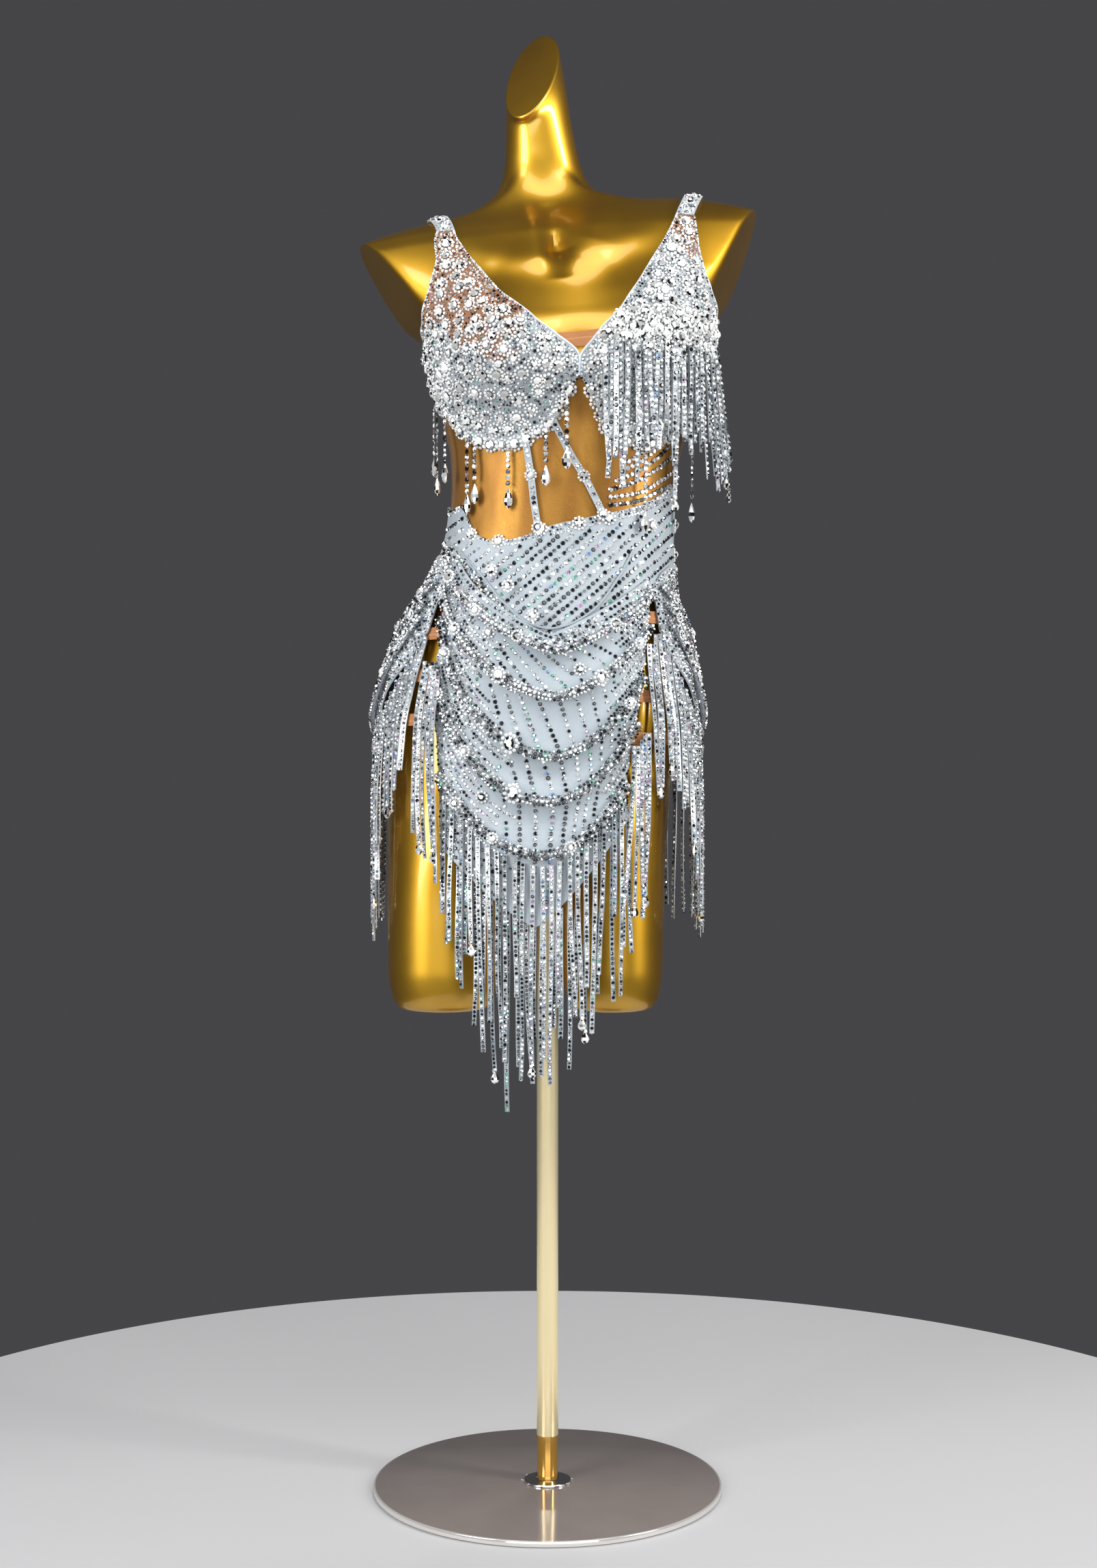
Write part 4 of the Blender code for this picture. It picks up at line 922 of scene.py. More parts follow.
legTable = curveTable(
    "height leftX leftHalf rightX rightHalf centreY halfDepth",
    (
        (0.489, 0.0665, 0.052, -0.106, 0.0585, -0.002, 0.058),
        (0.6, 0.067, 0.0525, -0.104, 0.06, 0, 0.063),
        (0.7, 0.069, 0.055, -0.095, 0.07, 0.006, 0.078),
        (0.735, 0.0705, 0.0565, -0.0925, 0.0735, 0.01, 0.088),
    ),
)
thighTable = curveTable(
    "height turned size",
    (
        (0.489, 1, 0.56), (0.4897, 1, 0.68), (0.492, 1, 0.78), (0.496, 1, 0.85),
        (0.503, 1, 0.91), (0.514, 1, 0.955), (0.53, 1, 0.985), (0.61, 1, 1),
        (0.665, 0.85, 1), (0.7, 0.55, 1), (0.722, 0.25, 1), (0.735, 0, 1),
    ),
)


def chestRelief(x, z):
    # ridges and hollows: each point of a line says how proud the skin is there
    total = np.zeros_like(x)
    for wide, line in chest:
        nearest, proud = np.full_like(x, np.inf), np.zeros_like(x)
        for (ax, az, ahead), (bx, bz, behind) in zip(line, line[1:]):
            run = (bx - ax) ** 2 + (bz - az) ** 2
            t = np.clip(((x - ax) * (bx - ax) + (z - az) * (bz - az)) / run, 0, 1)
            gap = np.hypot(x - mix(ax, bx, t), z - mix(az, bz, t))
            proud = np.where(gap < nearest, mix(ahead, behind, t), proud)
            nearest = np.minimum(nearest, gap)
        total += proud * np.exp(-0.5 * (nearest / wide) ** 2)
    return total


def softStumps(points):
    # presses the arms onto their flat cuts, with a small rounding at the rims
    for tipX, tipZ, armpitX, armpitZ in form["stumps"]:
        tip = np.array([tipX, form["stumpY"], tipZ])
        armpit = np.array([armpitX, form["stumpY"], armpitZ])
        up = unit(tip - armpit)
        sideways = np.array([math.copysign(1, tipX), 0.0, 0.0])
        facing = unit(unit(sideways - up * (sideways @ up)) + np.array([0, -form["stumpTurn"], 0]))
        beyond, above = (points - armpit) @ facing, (points - armpit) @ up
        edge = form["stumpEdge"]
        held = -edge * np.logaddexp(0, -beyond / edge)
        share = smooth((above - form["stumpStart"]) / form["stumpBlend"])
        points = points + (share * (held - beyond))[..., None] * facing
    return points


def spaced(parts):
    return np.concatenate([np.linspace(a, b, n, endpoint=False) for a, b, n in parts])


def formRings(angles, heights):
    angle, height = np.meshgrid(angles, heights)
    rings = onBody(angle, height)
    ahead = np.cos(np.radians(angle))
    # draws out the crease where the neck meets the chest
    middle, half, passes = form["neckBase"]
    share = np.exp(-(((rings[..., 2] - middle) / half) ** 4)) * smooth((ahead - 0.45) / 0.4)
    for _ in range(passes):
        between = (rings[:-2] + rings[2:]) / 2
        rings[1:-1] += (between - rings[1:-1]) * share[1:-1, :, None]
    rings[..., 1] -= chestRelief(rings[..., 0], rings[..., 2]) * smooth(ahead / 0.35)
    return rings


def neckTop(rim, start):
    # the neck's flat top, with a rounded rim
    count, middle, size = len(rim), rim.mean(axis=0), form["neckEdge"]
    flat = unit(np.cross(rim[0] - middle, rim[count // 4] - middle))
    flat = flat if flat[2] > 0 else -flat
    inwards, turns = unit(middle - rim), np.radians(form["neckTurns"])
    points = [rim + inwards * size * (1 - math.cos(turn)) + flat * size * math.sin(turn) for turn in turns]
    faces = gridFaces(len(turns) + 1, count, start, closed=True, flip=True)
    top = start + len(turns) * count
    faces += [(top + i, top + (i + 1) % count, top + count) for i in range(count)]
    return [*points, [middle + flat * size]], faces


def thighTurns(count, first):
    # the angle of each point of a thigh's rings: round the outside, then along the arch between the thighs
    arch, outside = form["archPoints"], form["thighOutside"]
    turns = [first + outside * i / (count - arch - 1) for i in range(count - arch)]
    return np.radians(turns + [turns[-1] + (360 - outside) * (i + 1) / (arch + 1) for i in range(arch)])


def buildForm():
    angles = spaced(form["angles"])
    heights = np.append(spaced(form["heights"]), form["heights"][-1][1])
    rings = formRings(angles, heights)
    count = len(angles)
    faces = gridFaces(len(heights), count, closed=True, flip=True)
    skin = BVHTree.FromPolygons([Vector(p) for p in rings.reshape(-1, 3)], faces)
    top, topFaces = neckTop(rings[-1], (len(heights) - 1) * count)
    points = np.concatenate([softStumps(rings).reshape(-1, 3), *top])
    faces += topFaces

    # the thighs, from the hip ring split at its middle
    hip, ahead = rings[0], np.cos(np.radians(angles))
    fore, aft = (int(np.argmin(np.where(half, np.abs(hip[:, 0]), np.inf))) for half in (ahead > 0, ahead < 0))
    arch = form["archPoints"]
    bridge = hip[aft] + (hip[fore] - hip[aft]) * ((np.arange(arch) + 1) / (arch + 1))[:, None]
    archIndex = list(range(len(points), len(points) + arch))
    points = np.concatenate([points, bridge])
    levels = np.concatenate([*(np.linspace(*part) for part in form["thighHeights"]), [form["thighEnd"]]])
    for side, loop, first in (
        ("left", [*range(fore, aft + 1), *archIndex], -60),
        ("right", [i % count for i in range(aft, fore + count + 1)] + archIndex[::-1], 120),
    ):
        size, turns, hipLoop = len(loop), thighTurns(len(loop), first), points[loop]
        for high in levels:
            leg, ring = legTable.at(high), thighTable.at(high)
            half = getattr(leg, side + "Half") * ring.size
            lower = mix(hipLoop, stack(
                getattr(leg, side + "X") + half * np.sin(turns),
                leg.centreY - leg.halfDepth * ring.size * np.cos(turns), high,
            ), ring.turned)
            lower[:, 2] = high
            fresh = list(range(len(points), len(points) + size))
            points = np.concatenate([points, lower])
            for i in range(size):
                n = (i + 1) % size
                faces.append((fresh[i], fresh[n], loop[n], loop[i]))
            loop = fresh
        faces.append(tuple(reversed(loop)))
    addPiece("dress_form", points, faces, goldLook, "gold_form", ["form"], sharp=32)
    print("form:", len(points), "points")
    return skin


formSkin = buildForm()


# ---- pole and base

stand = {
    "plateRadius": 0.178, "plateThick": 0.006, "poleRadius": 0.011, "poleTop": 0.7897,
    "flangeRadius": 0.024, "flangeThick": 0.002, "seam": 0.0003, "sleeveBottom": 0.0535,
}


def lathe(name, profile, sides, look, slot, *replaced):
    # profile: (radius, height) from the bottom up on the outside
    turns = np.linspace(0, 2 * math.pi, sides, endpoint=False)
    points = [(r * math.cos(a), r * math.sin(a), z) for r, z in profile for a in turns]
    faces = gridFaces(len(profile), sides, closed=True, flip=True)
    last = (len(profile) - 1) * sides
    if profile[0] != profile[-1]:
        faces += [tuple(reversed(range(sides))), tuple(last + i for i in range(sides))]
    return addPiece(name, points, faces, look, slot, replaced)


def buildStand():
    radius, thick = stand["plateRadius"], stand["plateThick"]
    lathe(
        "mirror_base",
        ((radius - 0.0008, 0), (radius, 0.0008), (radius, thick - 0.0008), (radius - 0.0003, thick - 0.0003),
         (radius - 0.0009, thick), (0.02, thick)),
        180, mirrorLook, "mirror_base", "base_plate",
    )
    r, low, sleeve, top = stand["poleRadius"], thick + stand["seam"], stand["sleeveBottom"], stand["poleTop"]
    lathe(
        "gold_pole",
        ((r - 0.0006, low), (r - 0.0006, sleeve - 0.0003), (r - 0.0001, sleeve), (r, sleeve + 0.0003),
         (r, top - 0.001), (r - 0.001, top)),
        64, poleLook, "gold_pole", "pole",
    )
    outer, high = stand["flangeRadius"], low + stand["flangeThick"]
    lathe(
        "chrome_flange",
        ((r + 0.0002, low), (outer - 0.0003, low), (outer, low + 0.0003), (outer, high - 0.0006),
         (outer - 0.0004, high - 0.0001), (outer - 0.001, high), (r + 0.0012, high),
         (r + 0.0002, high + 0.0006), (r + 0.0002, low)),
        96, chromeLook, "chrome_flange", "base_flange",
    )


def paintFilm(kit):
    wrinkles = noise(kit, 260, 3.0, 0.6)
    return {
        "Alpha": wrinkles.between(0.2, 0.8) * 0.35 + 0.25,
        "Normal": bump(kit, wrinkles, 0.8, 0.001),
    }


film = {"bits": 11, "steps": 6, "inner": 0.0243, "outer": 0.0245, "base": 0.0063, "seed": 4}
filmLook = newMaterial(
    "clearFilm", {"Base Color": (0.9, 0.9, 0.9), "Roughness": 0.08, "Specular IOR Level": 0.8}, paintFilm
)


def buildFilm():
    # torn bits of the plate's protective film, left round the flange
    chooser = random.Random(film["seed"])
    points, faces = [], []
    for i in range(film["bits"]):
        middle = 2 * math.pi * (i + chooser.random() * 0.6) / film["bits"]
        wide, long = chooser.uniform(0.1, 0.26), chooser.uniform(0.0015, 0.0042)
        first, inner, steps = len(points), film["inner"], film["steps"]
        for j in range(steps + 1):
            turn = middle + wide * (j / steps - 0.5)
            outer = film["outer"] + long * math.sin(math.pi * j / steps) ** 0.6 * chooser.uniform(0.6, 1.0)
            curl = chooser.uniform(0.0002, 0.0018)
            for reach, lift in ((inner, 0.0001), ((inner + outer) / 2, curl * 0.3), (outer, curl)):
                points.append((reach * math.cos(turn), reach * math.sin(turn), film["base"] + lift))
        faces += gridFaces(steps + 1, 3, first, flip=True)
    addPiece("film_bits", points, faces, filmLook, "chrome_flange", sharp=60)


buildStand()
buildFilm()
print("stand made")


# ---- bodice

def seenAt(surface, x, z):
    # the (angle, height) on a surface's front that the camera sees at x and z of the plane y = 0
    x, z = np.asarray(x, float), np.asarray(z, float)
    eyeX, eyeY, eyeZ = view["place"]
    angle, height = np.zeros_like(x), z.copy()
    for _ in range(6):
        depth = (surface(angle, height)[..., 1] - eyeY) / -eyeY
        wantedX, wantedZ = eyeX + (x - eyeX) * depth, eyeZ + (z - eyeZ) * depth
        low, high = np.full_like(x, -89.9), np.full_like(x, 89.9)
        for _ in range(22):
            angle = (low + high) / 2
            short = surface(angle, height)[..., 0] < wantedX
            low, high = np.where(short, angle, low), np.where(short, high, angle)
        height = height + wantedZ - surface(angle, height)[..., 2]
    return angle, height


def jewels(bag, surface, places, out, radius, pack):
    # flower clusters at places seen from the front
    for point, facing in zip(*laidOn(surface, *seenAt(surface, *np.transpose(places)), out)):
        if pack.put(point, radius * 1.9):
            bag.flower(point, facing, radius)


layers = {"mesh": (0.001, 0.002), "cloth": (0.0026, 0.0042), "trim": (0.0052, 0.0066), "hipOut": 0.0055}
clothThick = layers["cloth"][1] - layers["cloth"][0]

cups = {
    "cells": (60, 64), "flat": (0.245, 0.24), "area": 0.03,
    "right": {
        "outer": (
            (-32.7, 1.2855), (-32.8, 1.2566), (-36.8, 1.2314), (-41.7, 1.216), (-53.6, 1.1974),
            (-69.5, 1.1839), (-80, 1.175), (-89.8, 1.17), (-89.8, 1.108),
        ),
        "neckline": (
            (-27.7, 1.2843), (-25.1, 1.2629), (-21.1, 1.2275), (-19, 1.1984), (-14.9, 1.1772), (-6.4, 1.1594),
            (3.4, 1.1357), (3.4, 1.1206),
        ),
        "bottom": (
            (-89.8, 1.108), (-77.8, 1.104), (-65.3, 1.0905), (-57.6, 1.0728), (-45.9, 1.0612),
            (-34.3, 1.0543), (-23, 1.0546), (-17.5, 1.0606), (-8.6, 1.0729), (-1.8, 1.1011), (1.7, 1.1121),
            (3.4, 1.1206),
        ),
    },
    "left": {
        "outer": (
            (37.6, 1.2765), (38.4, 1.2476), (41.8, 1.2225), (50.8, 1.2018), (61.9, 1.191), (72, 1.182),
            (82, 1.174), (89.8, 1.17), (89.8, 1.108),
        ),
        "neckline": (
            (32.5, 1.2809), (28.4, 1.2535), (24.6, 1.2277), (22.2, 1.2013), (19.4, 1.18), (13.4, 1.1649),
            (8.8, 1.1518), (3.7, 1.1357), (3.7, 1.1206),
        ),
        "bottom": (
            (89.8, 1.108), (79, 1.0923), (65.2, 1.0728), (51.7, 1.0577), (37.9, 1.0529), (23.8, 1.0587),
            (15.7, 1.0748), (11.6, 1.097), (8.1, 1.1066), (5.3, 1.116), (3.7, 1.1206),
        ),
    },
}


def cupPlace(outline, turned):
    outer, neckline, bottom = (route(outline[key]) for key in ("outer", "neckline", "bottom"))

    def place(u, v, out):
        u, v = arrays(u, v)
        u = 1 - u if turned else u
        across, down = u[..., None], v[..., None]
        top = mix(outer(0.0), neckline(0.0), across)
        sides = mix(outer(v), neckline(v), across)
        ends = mix(top, bottom(u), down)
        corners = mix(top, mix(outer(1.0), neckline(1.0), across), down)
        at = sides + ends - corners
        return movedOut(onBody, at[..., 0], at[..., 1], out)

    return place


def edgeOf(place, fixed, at, count=160, out=0.0, span=(0.0, 1.0)):
    # a line on a cloth where u or v stays the same
    run = np.linspace(*span, count)
    u, v = (np.full(count, at), run) if fixed == "u" else (run, np.full(count, at))
    return facingOn(place, u, v, out)


cupStones = {
    "flower": 0.0043,
    "edge": (0.0037, 0.0016),  # pitch and radius of the row inside each side edge
    "edgeIn": (0.016, 0.014),
    # lines of flowers at the bottom and by the neckline: pitch, start, clearance, sizes
    "bottomFlowers": (0.0132, 0.004, 0.0062, (0.92, 1.12, 1.12)),
    "neckFlowers": (0.015, 0.006, 0.0054, (0.92,)),
    "pitch": 0.0148, "close": 1.25, "loose": (0.09, 0.1), "clear": 1.74,
    "sheer": 0.46,  # the flowers stand in columns over the right cup's nude top, down to this share
    "bare": (0.44, 0.42),  # how far down and how wide the barer lines between them are
    "fill": ((0.0021, 900), (0.0017, 3200), (0.0014, 6500), (0.001, 9000)),  # radius, tries
}


def flowerLine(bag, pack, line, pitch, start, clear, sizes):
    for n, (point, facing) in enumerate(alongLine(line, pitch, start)):
        if pack.put(point, clear):
            bag.flower(point, facing, cupStones["flower"] * sizes[n % len(sizes)])


def dressCup(side, place, pack, bag):
    # columns of flowers, then stones of falling size between them
    right = side == "right"
    chooser = np.random.default_rng(11 if right else 12)
    out = layers["cloth"][1]
    neck, inward = (1.0, -1) if right else (0.0, 1)
    neckIn, outerIn = cupStones["edgeIn"]
    for at in (neck + inward * neckIn, 1 - neck - inward * outerIn):
        stoneRow(bag, edgeOf(place, "u", at, out=out), *cupStones["edge"], whiteMix, pack=pack)
    bottom = edgeOf(place, "v", 0.985, out=out, span=(0.02, 0.98))
    flowerLine(bag, pack, bottom, *cupStones["bottomFlowers"])
    # flowers that lap over the neckline
    neckline = edgeOf(place, "u", neck + inward * 0.05, out=out, span=(0.1, 0.92))
    flowerLine(bag, pack, neckline, *cupStones["neckFlowers"])
    wide, long = (runAlong(edgeOf(place, *edge)[0])[-1] for edge in (("v", 0.7), ("u", 0.5)))
    rows, columns = int(long / cupStones["pitch"] * cupStones["close"]), int(wide / cupStones["pitch"])
    looseU, looseV = cupStones["loose"]
    for j in range(rows):
        sheer = right and (j + 0.5) / rows < cupStones["sheer"]
        for i in range(columns):
            u = (i + (0.2 if sheer else 0.5 * (j % 2)) + 0.5 + chooser.normal(0, looseU)) / columns
            v = (j + 0.5 + chooser.normal(0, looseV)) / rows
            if not (0.05 < u < 0.95 and 0.03 < v < 0.95) or (sheer and i % 2):
                continue
            point, facing = facingOn(place, u, v, out)
            size = cupStones["flower"] * chooser.uniform(0.86, 1.14)
            if pack.put(point, size * cupStones["clear"]):
                bag.flower(point + facing * 0.001, facing, size)
    bareDown, bareWide = cupStones["bare"]
    for radius, tries in cupStones["fill"]:
        u, v = chooser.uniform(0.01, 0.99, tries), chooser.uniform(0.01, 0.99, tries)
        for across, down, spot, facing in zip(u, v, *facingOn(place, u, v, out)):
            column = abs((across * columns - 0.7) % 2 - 1)
            bare = down < bareDown and right and column < bareWide
            if bare and (radius > 0.0015 or chooser.random() < 0.5):
                continue
            if pack.put(spot, radius * (1.12 if bare else 0.97)):
                mixture = darkMix if bare else whiteMix if down < bareDown else greyMix
                bag.add(spot, facing, radius, bag.finish(mixture), "small" if radius > 0.0012 else "tiny")


def buildCups():
    for side in ("right", "left"):
        place = cupPlace(cups[side], side == "left")
        name = f"bodice_cup_{side}"
        cloth(
            name, place, *cups["cells"], layers["cloth"], (cupLooks[side], "pale_blue_cloth"),
            cups["flat"], "stretched", ["dress_form"], cups["area"],
        )
        bag = stoneBag(21)
        dressCup(side, place, packing(), bag)
        bag.piece(f"cup_stones_{side}")
        for edge, at in (("neckline", 1.0), ("outer", 0.0)):
            line = edgeOf(place, "u", 1 - at if side == "left" else at, 90, 0.0036)[0]
            cord(f"binding_{edge}_{side}", line, 0.001, pipingLook, "blue_piping")


straps = {
    "width": 0.018, "middle": (0.028, 1.262), "flat": (0.02, 0.262),
    "bow": 0.013, "bowEnd": 0.6, "turnIn": 0.35,  # outwards over the shoulder, then in towards the back
    "ends": {"right": ((-30.2, 1.286), (211, 1.1728)), "left": ((35.0, 1.2803), (149, 1.1718))},
    "flower": 0.0029, "flowerPitch": 0.0115, "flowers": 9,
    # rows of stones: where across the strap, pitch, radius, cut and start
    "rows": (
        (0.5, 0.005, 0.0021, "small", 0.003), (0.17, 0.0042, 0.0018, "small", 0.003),
        (0.83, 0.0042, 0.0018, "small", 0.003), (0.33, 0.003, 0.0012, "tiny", 0.0),
        (0.67, 0.003, 0.0012, "tiny", 0.0),
    ),
}


def strapPlace(front, back):
    # a strap over the shoulder, laid on the form along rays from a line inside it
    start, end = (movedOut(onBody, *at, layers["cloth"][0]) for at in (front, back))
    middleY, middleZ = straps["middle"]
    first, last = (
        math.degrees(math.atan2(point[2] - middleZ, middleY - point[1])) % 360 for point in (start, end)
    )
    found = {}

    def cast(u, v):
        key = (round(float(u), 6), round(float(v), 6))
        if key not in found:
            turn = math.radians(mix(first, last, v))
            inwards = float(smooth((v - straps["turnIn"]) / (1 - straps["turnIn"])))
            bow = math.copysign(straps["bow"], start[0]) * math.sin(math.pi * min(v / straps["bowEnd"], 1))
            x = mix(start[0], end[0], inwards) + bow + straps["width"] * (0.5 - u)
            ray = Vector((0, -math.cos(turn), math.sin(turn)))
            hit, normal, _, _ = formSkin.ray_cast(Vector((x, middleY, middleZ)), ray)
            found[key] = (hit, (normal + ray).normalized())
        return found[key]

    def place(u, v, out):
        u, v, out = arrays(u, v, out)
        points = np.empty((*u.shape, 3))
        for index in np.ndindex(u.shape):
            at, steady = cast(u[index], v[index])
            points[index] = at + steady * float(out[index])
        return points

    return place


def buildStraps():
    for side, (front, back) in straps["ends"].items():
        place = strapPlace(front, back)
        name = f"strap_{side}"
        cloth(name, place, 6, 70, layers["cloth"], blueFinish, straps["flat"], "stretched", ["dress_form"])
        bag, pack, out = stoneBag(31), packing(), layers["cloth"][1]
        for n, (point, facing) in enumerate(
            alongLine(edgeOf(place, "u", 0.5, 70, out), straps["flowerPitch"], 0.005)
        ):
            if n < straps["flowers"] and n % 2 == 0 and pack.put(point, 0.0048):
                bag.flower(point, facing, straps["flower"], 9)
        for at, pitch, radius, cut, start in straps["rows"]:
            stoneRow(bag, edgeOf(place, "u", at, 70, out), pitch, radius, whiteMix, cut, pack, start=start)
        bag.piece(f"{name}_stones")


def panelPlace(edges, first, last, closing=1.0, relief=None):
    table = curveTable("angle top bottom", edges)

    def place(u, v, out):
        u, v = arrays(u, v)
        angle = mix(first, last, u)
        edge = table.at(angle)
        height = mix(edge.top, edge.bottom, v**closing)
        extra = relief(angle, height, u, v) if relief else 0.0
        return movedOut(onBody, angle, height, out + extra)

    return place


def pulls(angle, height, u, v):
    # faint stretch folds that run down a tight cloth and fade at its edges
    waves = np.sin(angle * 0.42 + height * 60) * 0.5 + np.sin(angle * 0.19 - height * 38 + 1.3) * 0.5
    return 0.00035 * (waves + 1) * np.sin(math.pi * np.clip(v, 0, 1)) * np.sin(math.pi * u) ** 0.5


panels = {
    "bodice_back": {
        "edges": (
            (90, 1.17, 1.108), (110, 1.165, 1.1), (130, 1.164, 1.094), (149, 1.172, 1.09), (165, 1.15, 1.088),
            (180, 1.14, 1.088), (195, 1.15, 1.088), (211, 1.172, 1.09), (230, 1.164, 1.094),
            (250, 1.165, 1.1), (270, 1.17, 1.108),
        ),
        "span": (90.2, 269.8), "cells": (150, 18), "layer": "cloth", "flat": (0.38, 0.08), "area": 0.0255,
    },
    "neckline_elastic": {
        "edges": ((-8.5, 1.16, 1.144), (-4.5, 1.1604, 1.144), (3.8, 1.1612, 1.1465), (12.0, 1.1622, 1.146)),
        "span": (-8.5, 12.0), "cells": (60, 8), "layer": "mesh", "flat": (0.052, 0.0165),
    },
    "midriff_front": {
        "edges": (
            (-90, 1.113, 0.999), (-77.8, 1.109, 0.995), (-65.3, 1.096, 0.993), (-57.6, 1.0785, 0.992),
            (-45.9, 1.0665, 0.964), (-34.3, 1.0595, 0.955), (-23, 1.06, 0.955), (-17.5, 1.066, 0.958),
            (-8.6, 1.0785, 0.966), (-1.8, 1.105, 0.971), (3.5, 1.123, 0.973), (8.1, 1.109, 0.974),
            (11.6, 1.1, 0.976), (15.7, 1.079, 0.978), (23.8, 1.0645, 0.981), (37.9, 1.0585, 0.989),
            (51.7, 1.0635, 0.998), (65.2, 1.0785, 1.009), (79, 1.0975, 1.021), (90, 1.113, 1.029),
        ),
        "span": (-89.8, 89.8), "cells": (170, 36), "layer": "mesh", "flat": (0.43, 0.152), "area": 0.0312,
        "closing": 1.4,
    },
    "midriff_back": {
        "edges": (
            (90, 1.113, 1.029), (120, 1.102, 1.011), (180, 1.094, 0.992), (240, 1.102, 0.992),
            (270, 1.113, 0.999),
        ),
        "span": (90.2, 269.8), "cells": (130, 26), "layer": "mesh", "flat": (0.33, 0.108), "area": 0.031,
    },
    "yoke_front": {
        "edges": (
            (-90, 1.005, 0.932), (-73.7, 0.9987, 0.936), (-59.6, 1.0004, 0.942), (-51.6, 0.9828, 0.938),
            (-44.6, 0.9691, 0.93), (-32.6, 0.9607, 0.916), (-23.7, 0.9614, 0.9), (-12.7, 0.9677, 0.878),
            (-4.9, 0.9742, 0.866), (2.8, 0.978, 0.861), (8.8, 0.9802, 0.864), (17.9, 0.9848, 0.88),
            (27.9, 0.989, 0.896), (39.3, 0.9951, 0.902), (56, 1.0078, 0.916), (75, 1.0249, 0.93),
            (90, 1.035, 0.932),
        ),
        "span": (-89.8, 89.8), "cells": (190, 40), "layer": "cloth", "flat": (0.39, 0.118), "area": 0.0276,
    },
    "yoke_back": {
        "edges": (
            (90, 1.035, 0.932), (120, 1.017, 0.93), (180, 0.998, 0.928), (240, 0.998, 0.93),
            (270, 1.005, 0.932),
        ),
        "span": (90.2, 269.8), "cells": (130, 24), "layer": "cloth", "flat": (0.325, 0.104), "area": 0.024,
    },
}


def buildPanels():
    finishes = {"cloth": blueFinish, "mesh": (meshLook, "nude_mesh")}
    places = {}
    for name, panel in panels.items():
        elastic, layer = name == "neckline_elastic", panel["layer"]
        relief = None if elastic else pulls
        place = panelPlace(panel["edges"], *panel["span"], panel.get("closing", 1.0), relief)
        places[name] = place
        cloth(
            name, place, *panel["cells"], layers[layer], elasticFinish if elastic else finishes[layer],
            panel["flat"], "stretched", ["dress_form"], panel.get("area"),
        )
    return places


buildCups()
buildStraps()
panelPlaces = buildPanels()
print("bodice, midriff and yoke made")

yoke = {
    "slope": 41.0, "rowGap": 0.0084, "pitch": 0.0056, "stone": 0.0026,
    # the sloping rows as seen from the front: middle, half length, bend, the first and last number
    "middle": (0.02, 0.925), "reach": 0.19, "bend": 0.35, "numbers": (-17, 17),
    "within": (0.01, 0.118), "belowTop": 0.009, "aboveBottom": 0.001, "side": 86, "flower": 0.0042,
    "looks": (greyMix, auroraMix, whiteMix, darkMix, greyMix, darkMix, auroraMix, darkMix, greyMix),
    # rows along the edges: how far down, pitch, radius and mixture
    "topRows": (
        (0.02, 0.0043, 0.0019, whiteMix), (0.055, 0.0036, 0.0014, greyMix), (0.085, 0.0036, 0.0014, whiteMix),
    ),
    "backRows": (
        (0.03, 0.0046, 0.0019), (0.3, 0.008, 0.0017), (0.55, 0.008, 0.0017), (0.8, 0.008, 0.0017),
    ),
    "clusters": (
        (-0.0751, 0.9741), (-0.0487, 0.9678), (-0.0067, 0.9804), (0.0318, 0.9864), (0.0616, 0.9916),
        (-0.0906, 0.9531), (0.1036, 0.9846), (0.1264, 0.9846), (0.1281, 0.9548), (0.1264, 0.9391),
    ),
}


def buildYokeStones():
    bag, pack = stoneBag(41), packing()
    out = layers["cloth"][1]
    edges = curveTable("angle top bottom", panels["yoke_front"]["edges"])
    jewels(bag, onBody, yoke["clusters"], out + 0.0006, yoke["flower"], pack)
    for at, pitch, radius, mixture in yoke["topRows"]:
        stoneRow(bag, edgeOf(panelPlaces["yoke_front"], "v", at, 400, out), pitch, radius, mixture, pack=pack)
    slope, (middleX, middleZ), (centre, half) = math.radians(yoke["slope"]), yoke["middle"], yoke["within"]
    run = np.linspace(-yoke["reach"], yoke["reach"], 260)
    for n in range(*yoke["numbers"]):
        # rows that rise to the wearer's left, with a slight bend
        offset = n * yoke["rowGap"] + yoke["bend"] * run**2
        x = middleX + run * math.cos(slope) - offset * math.sin(slope)
        z = middleZ + run * math.sin(slope) + offset * math.cos(slope)
        inside = np.abs(x - centre) < half
        angle, height = seenAt(onBody, x[inside], z[inside])
        edge = edges.at(angle)
        top, bottom = edge.top - yoke["belowTop"], edge.bottom + yoke["aboveBottom"]
        keep = (height < top) & (height > bottom) & (np.abs(angle) < yoke["side"])
        if keep.sum() < 4:
            continue
        line = laidOn(onBody, angle[keep], height[keep], out)
        mixture = yoke["looks"][n % len(yoke["looks"])]
        stoneRow(bag, line, yoke["pitch"], yoke["stone"], mixture, pack=pack)
    for at, pitch, radius in yoke["backRows"]:
        line = edgeOf(panelPlaces["yoke_back"], "v", at, 300, out)
        stoneRow(bag, line, pitch, radius, whiteMix, pack=pack, start=0.004 * (at > 0.5))
    bag.piece("yoke_stones")


buildYokeStones()

bands = {
    "width": 0.007, "cut": 0.01, "stone": 0.0021, "pitch": 0.0052,
    # each with its line, where its flowers sit and how long it is
    "band_inner": (((-20.5, 1.0665), (-16.8, 1.0317), (-13.8, 0.9973), (-9.6, 0.964)), (0.4, 0.92), 0.101),
    "band_outer": (
        ((-9.6, 1.09), (-0.5, 1.0552), (10.4, 1.0215), (18.2, 0.9945), (21.5, 0.982)), (0.62, 0.97), 0.119,
    ),
    "flower": (0.0038, 0.0066), "sideFlower": (0.0021, 0.0034), "sideAt": (-0.095, 0.095),
}


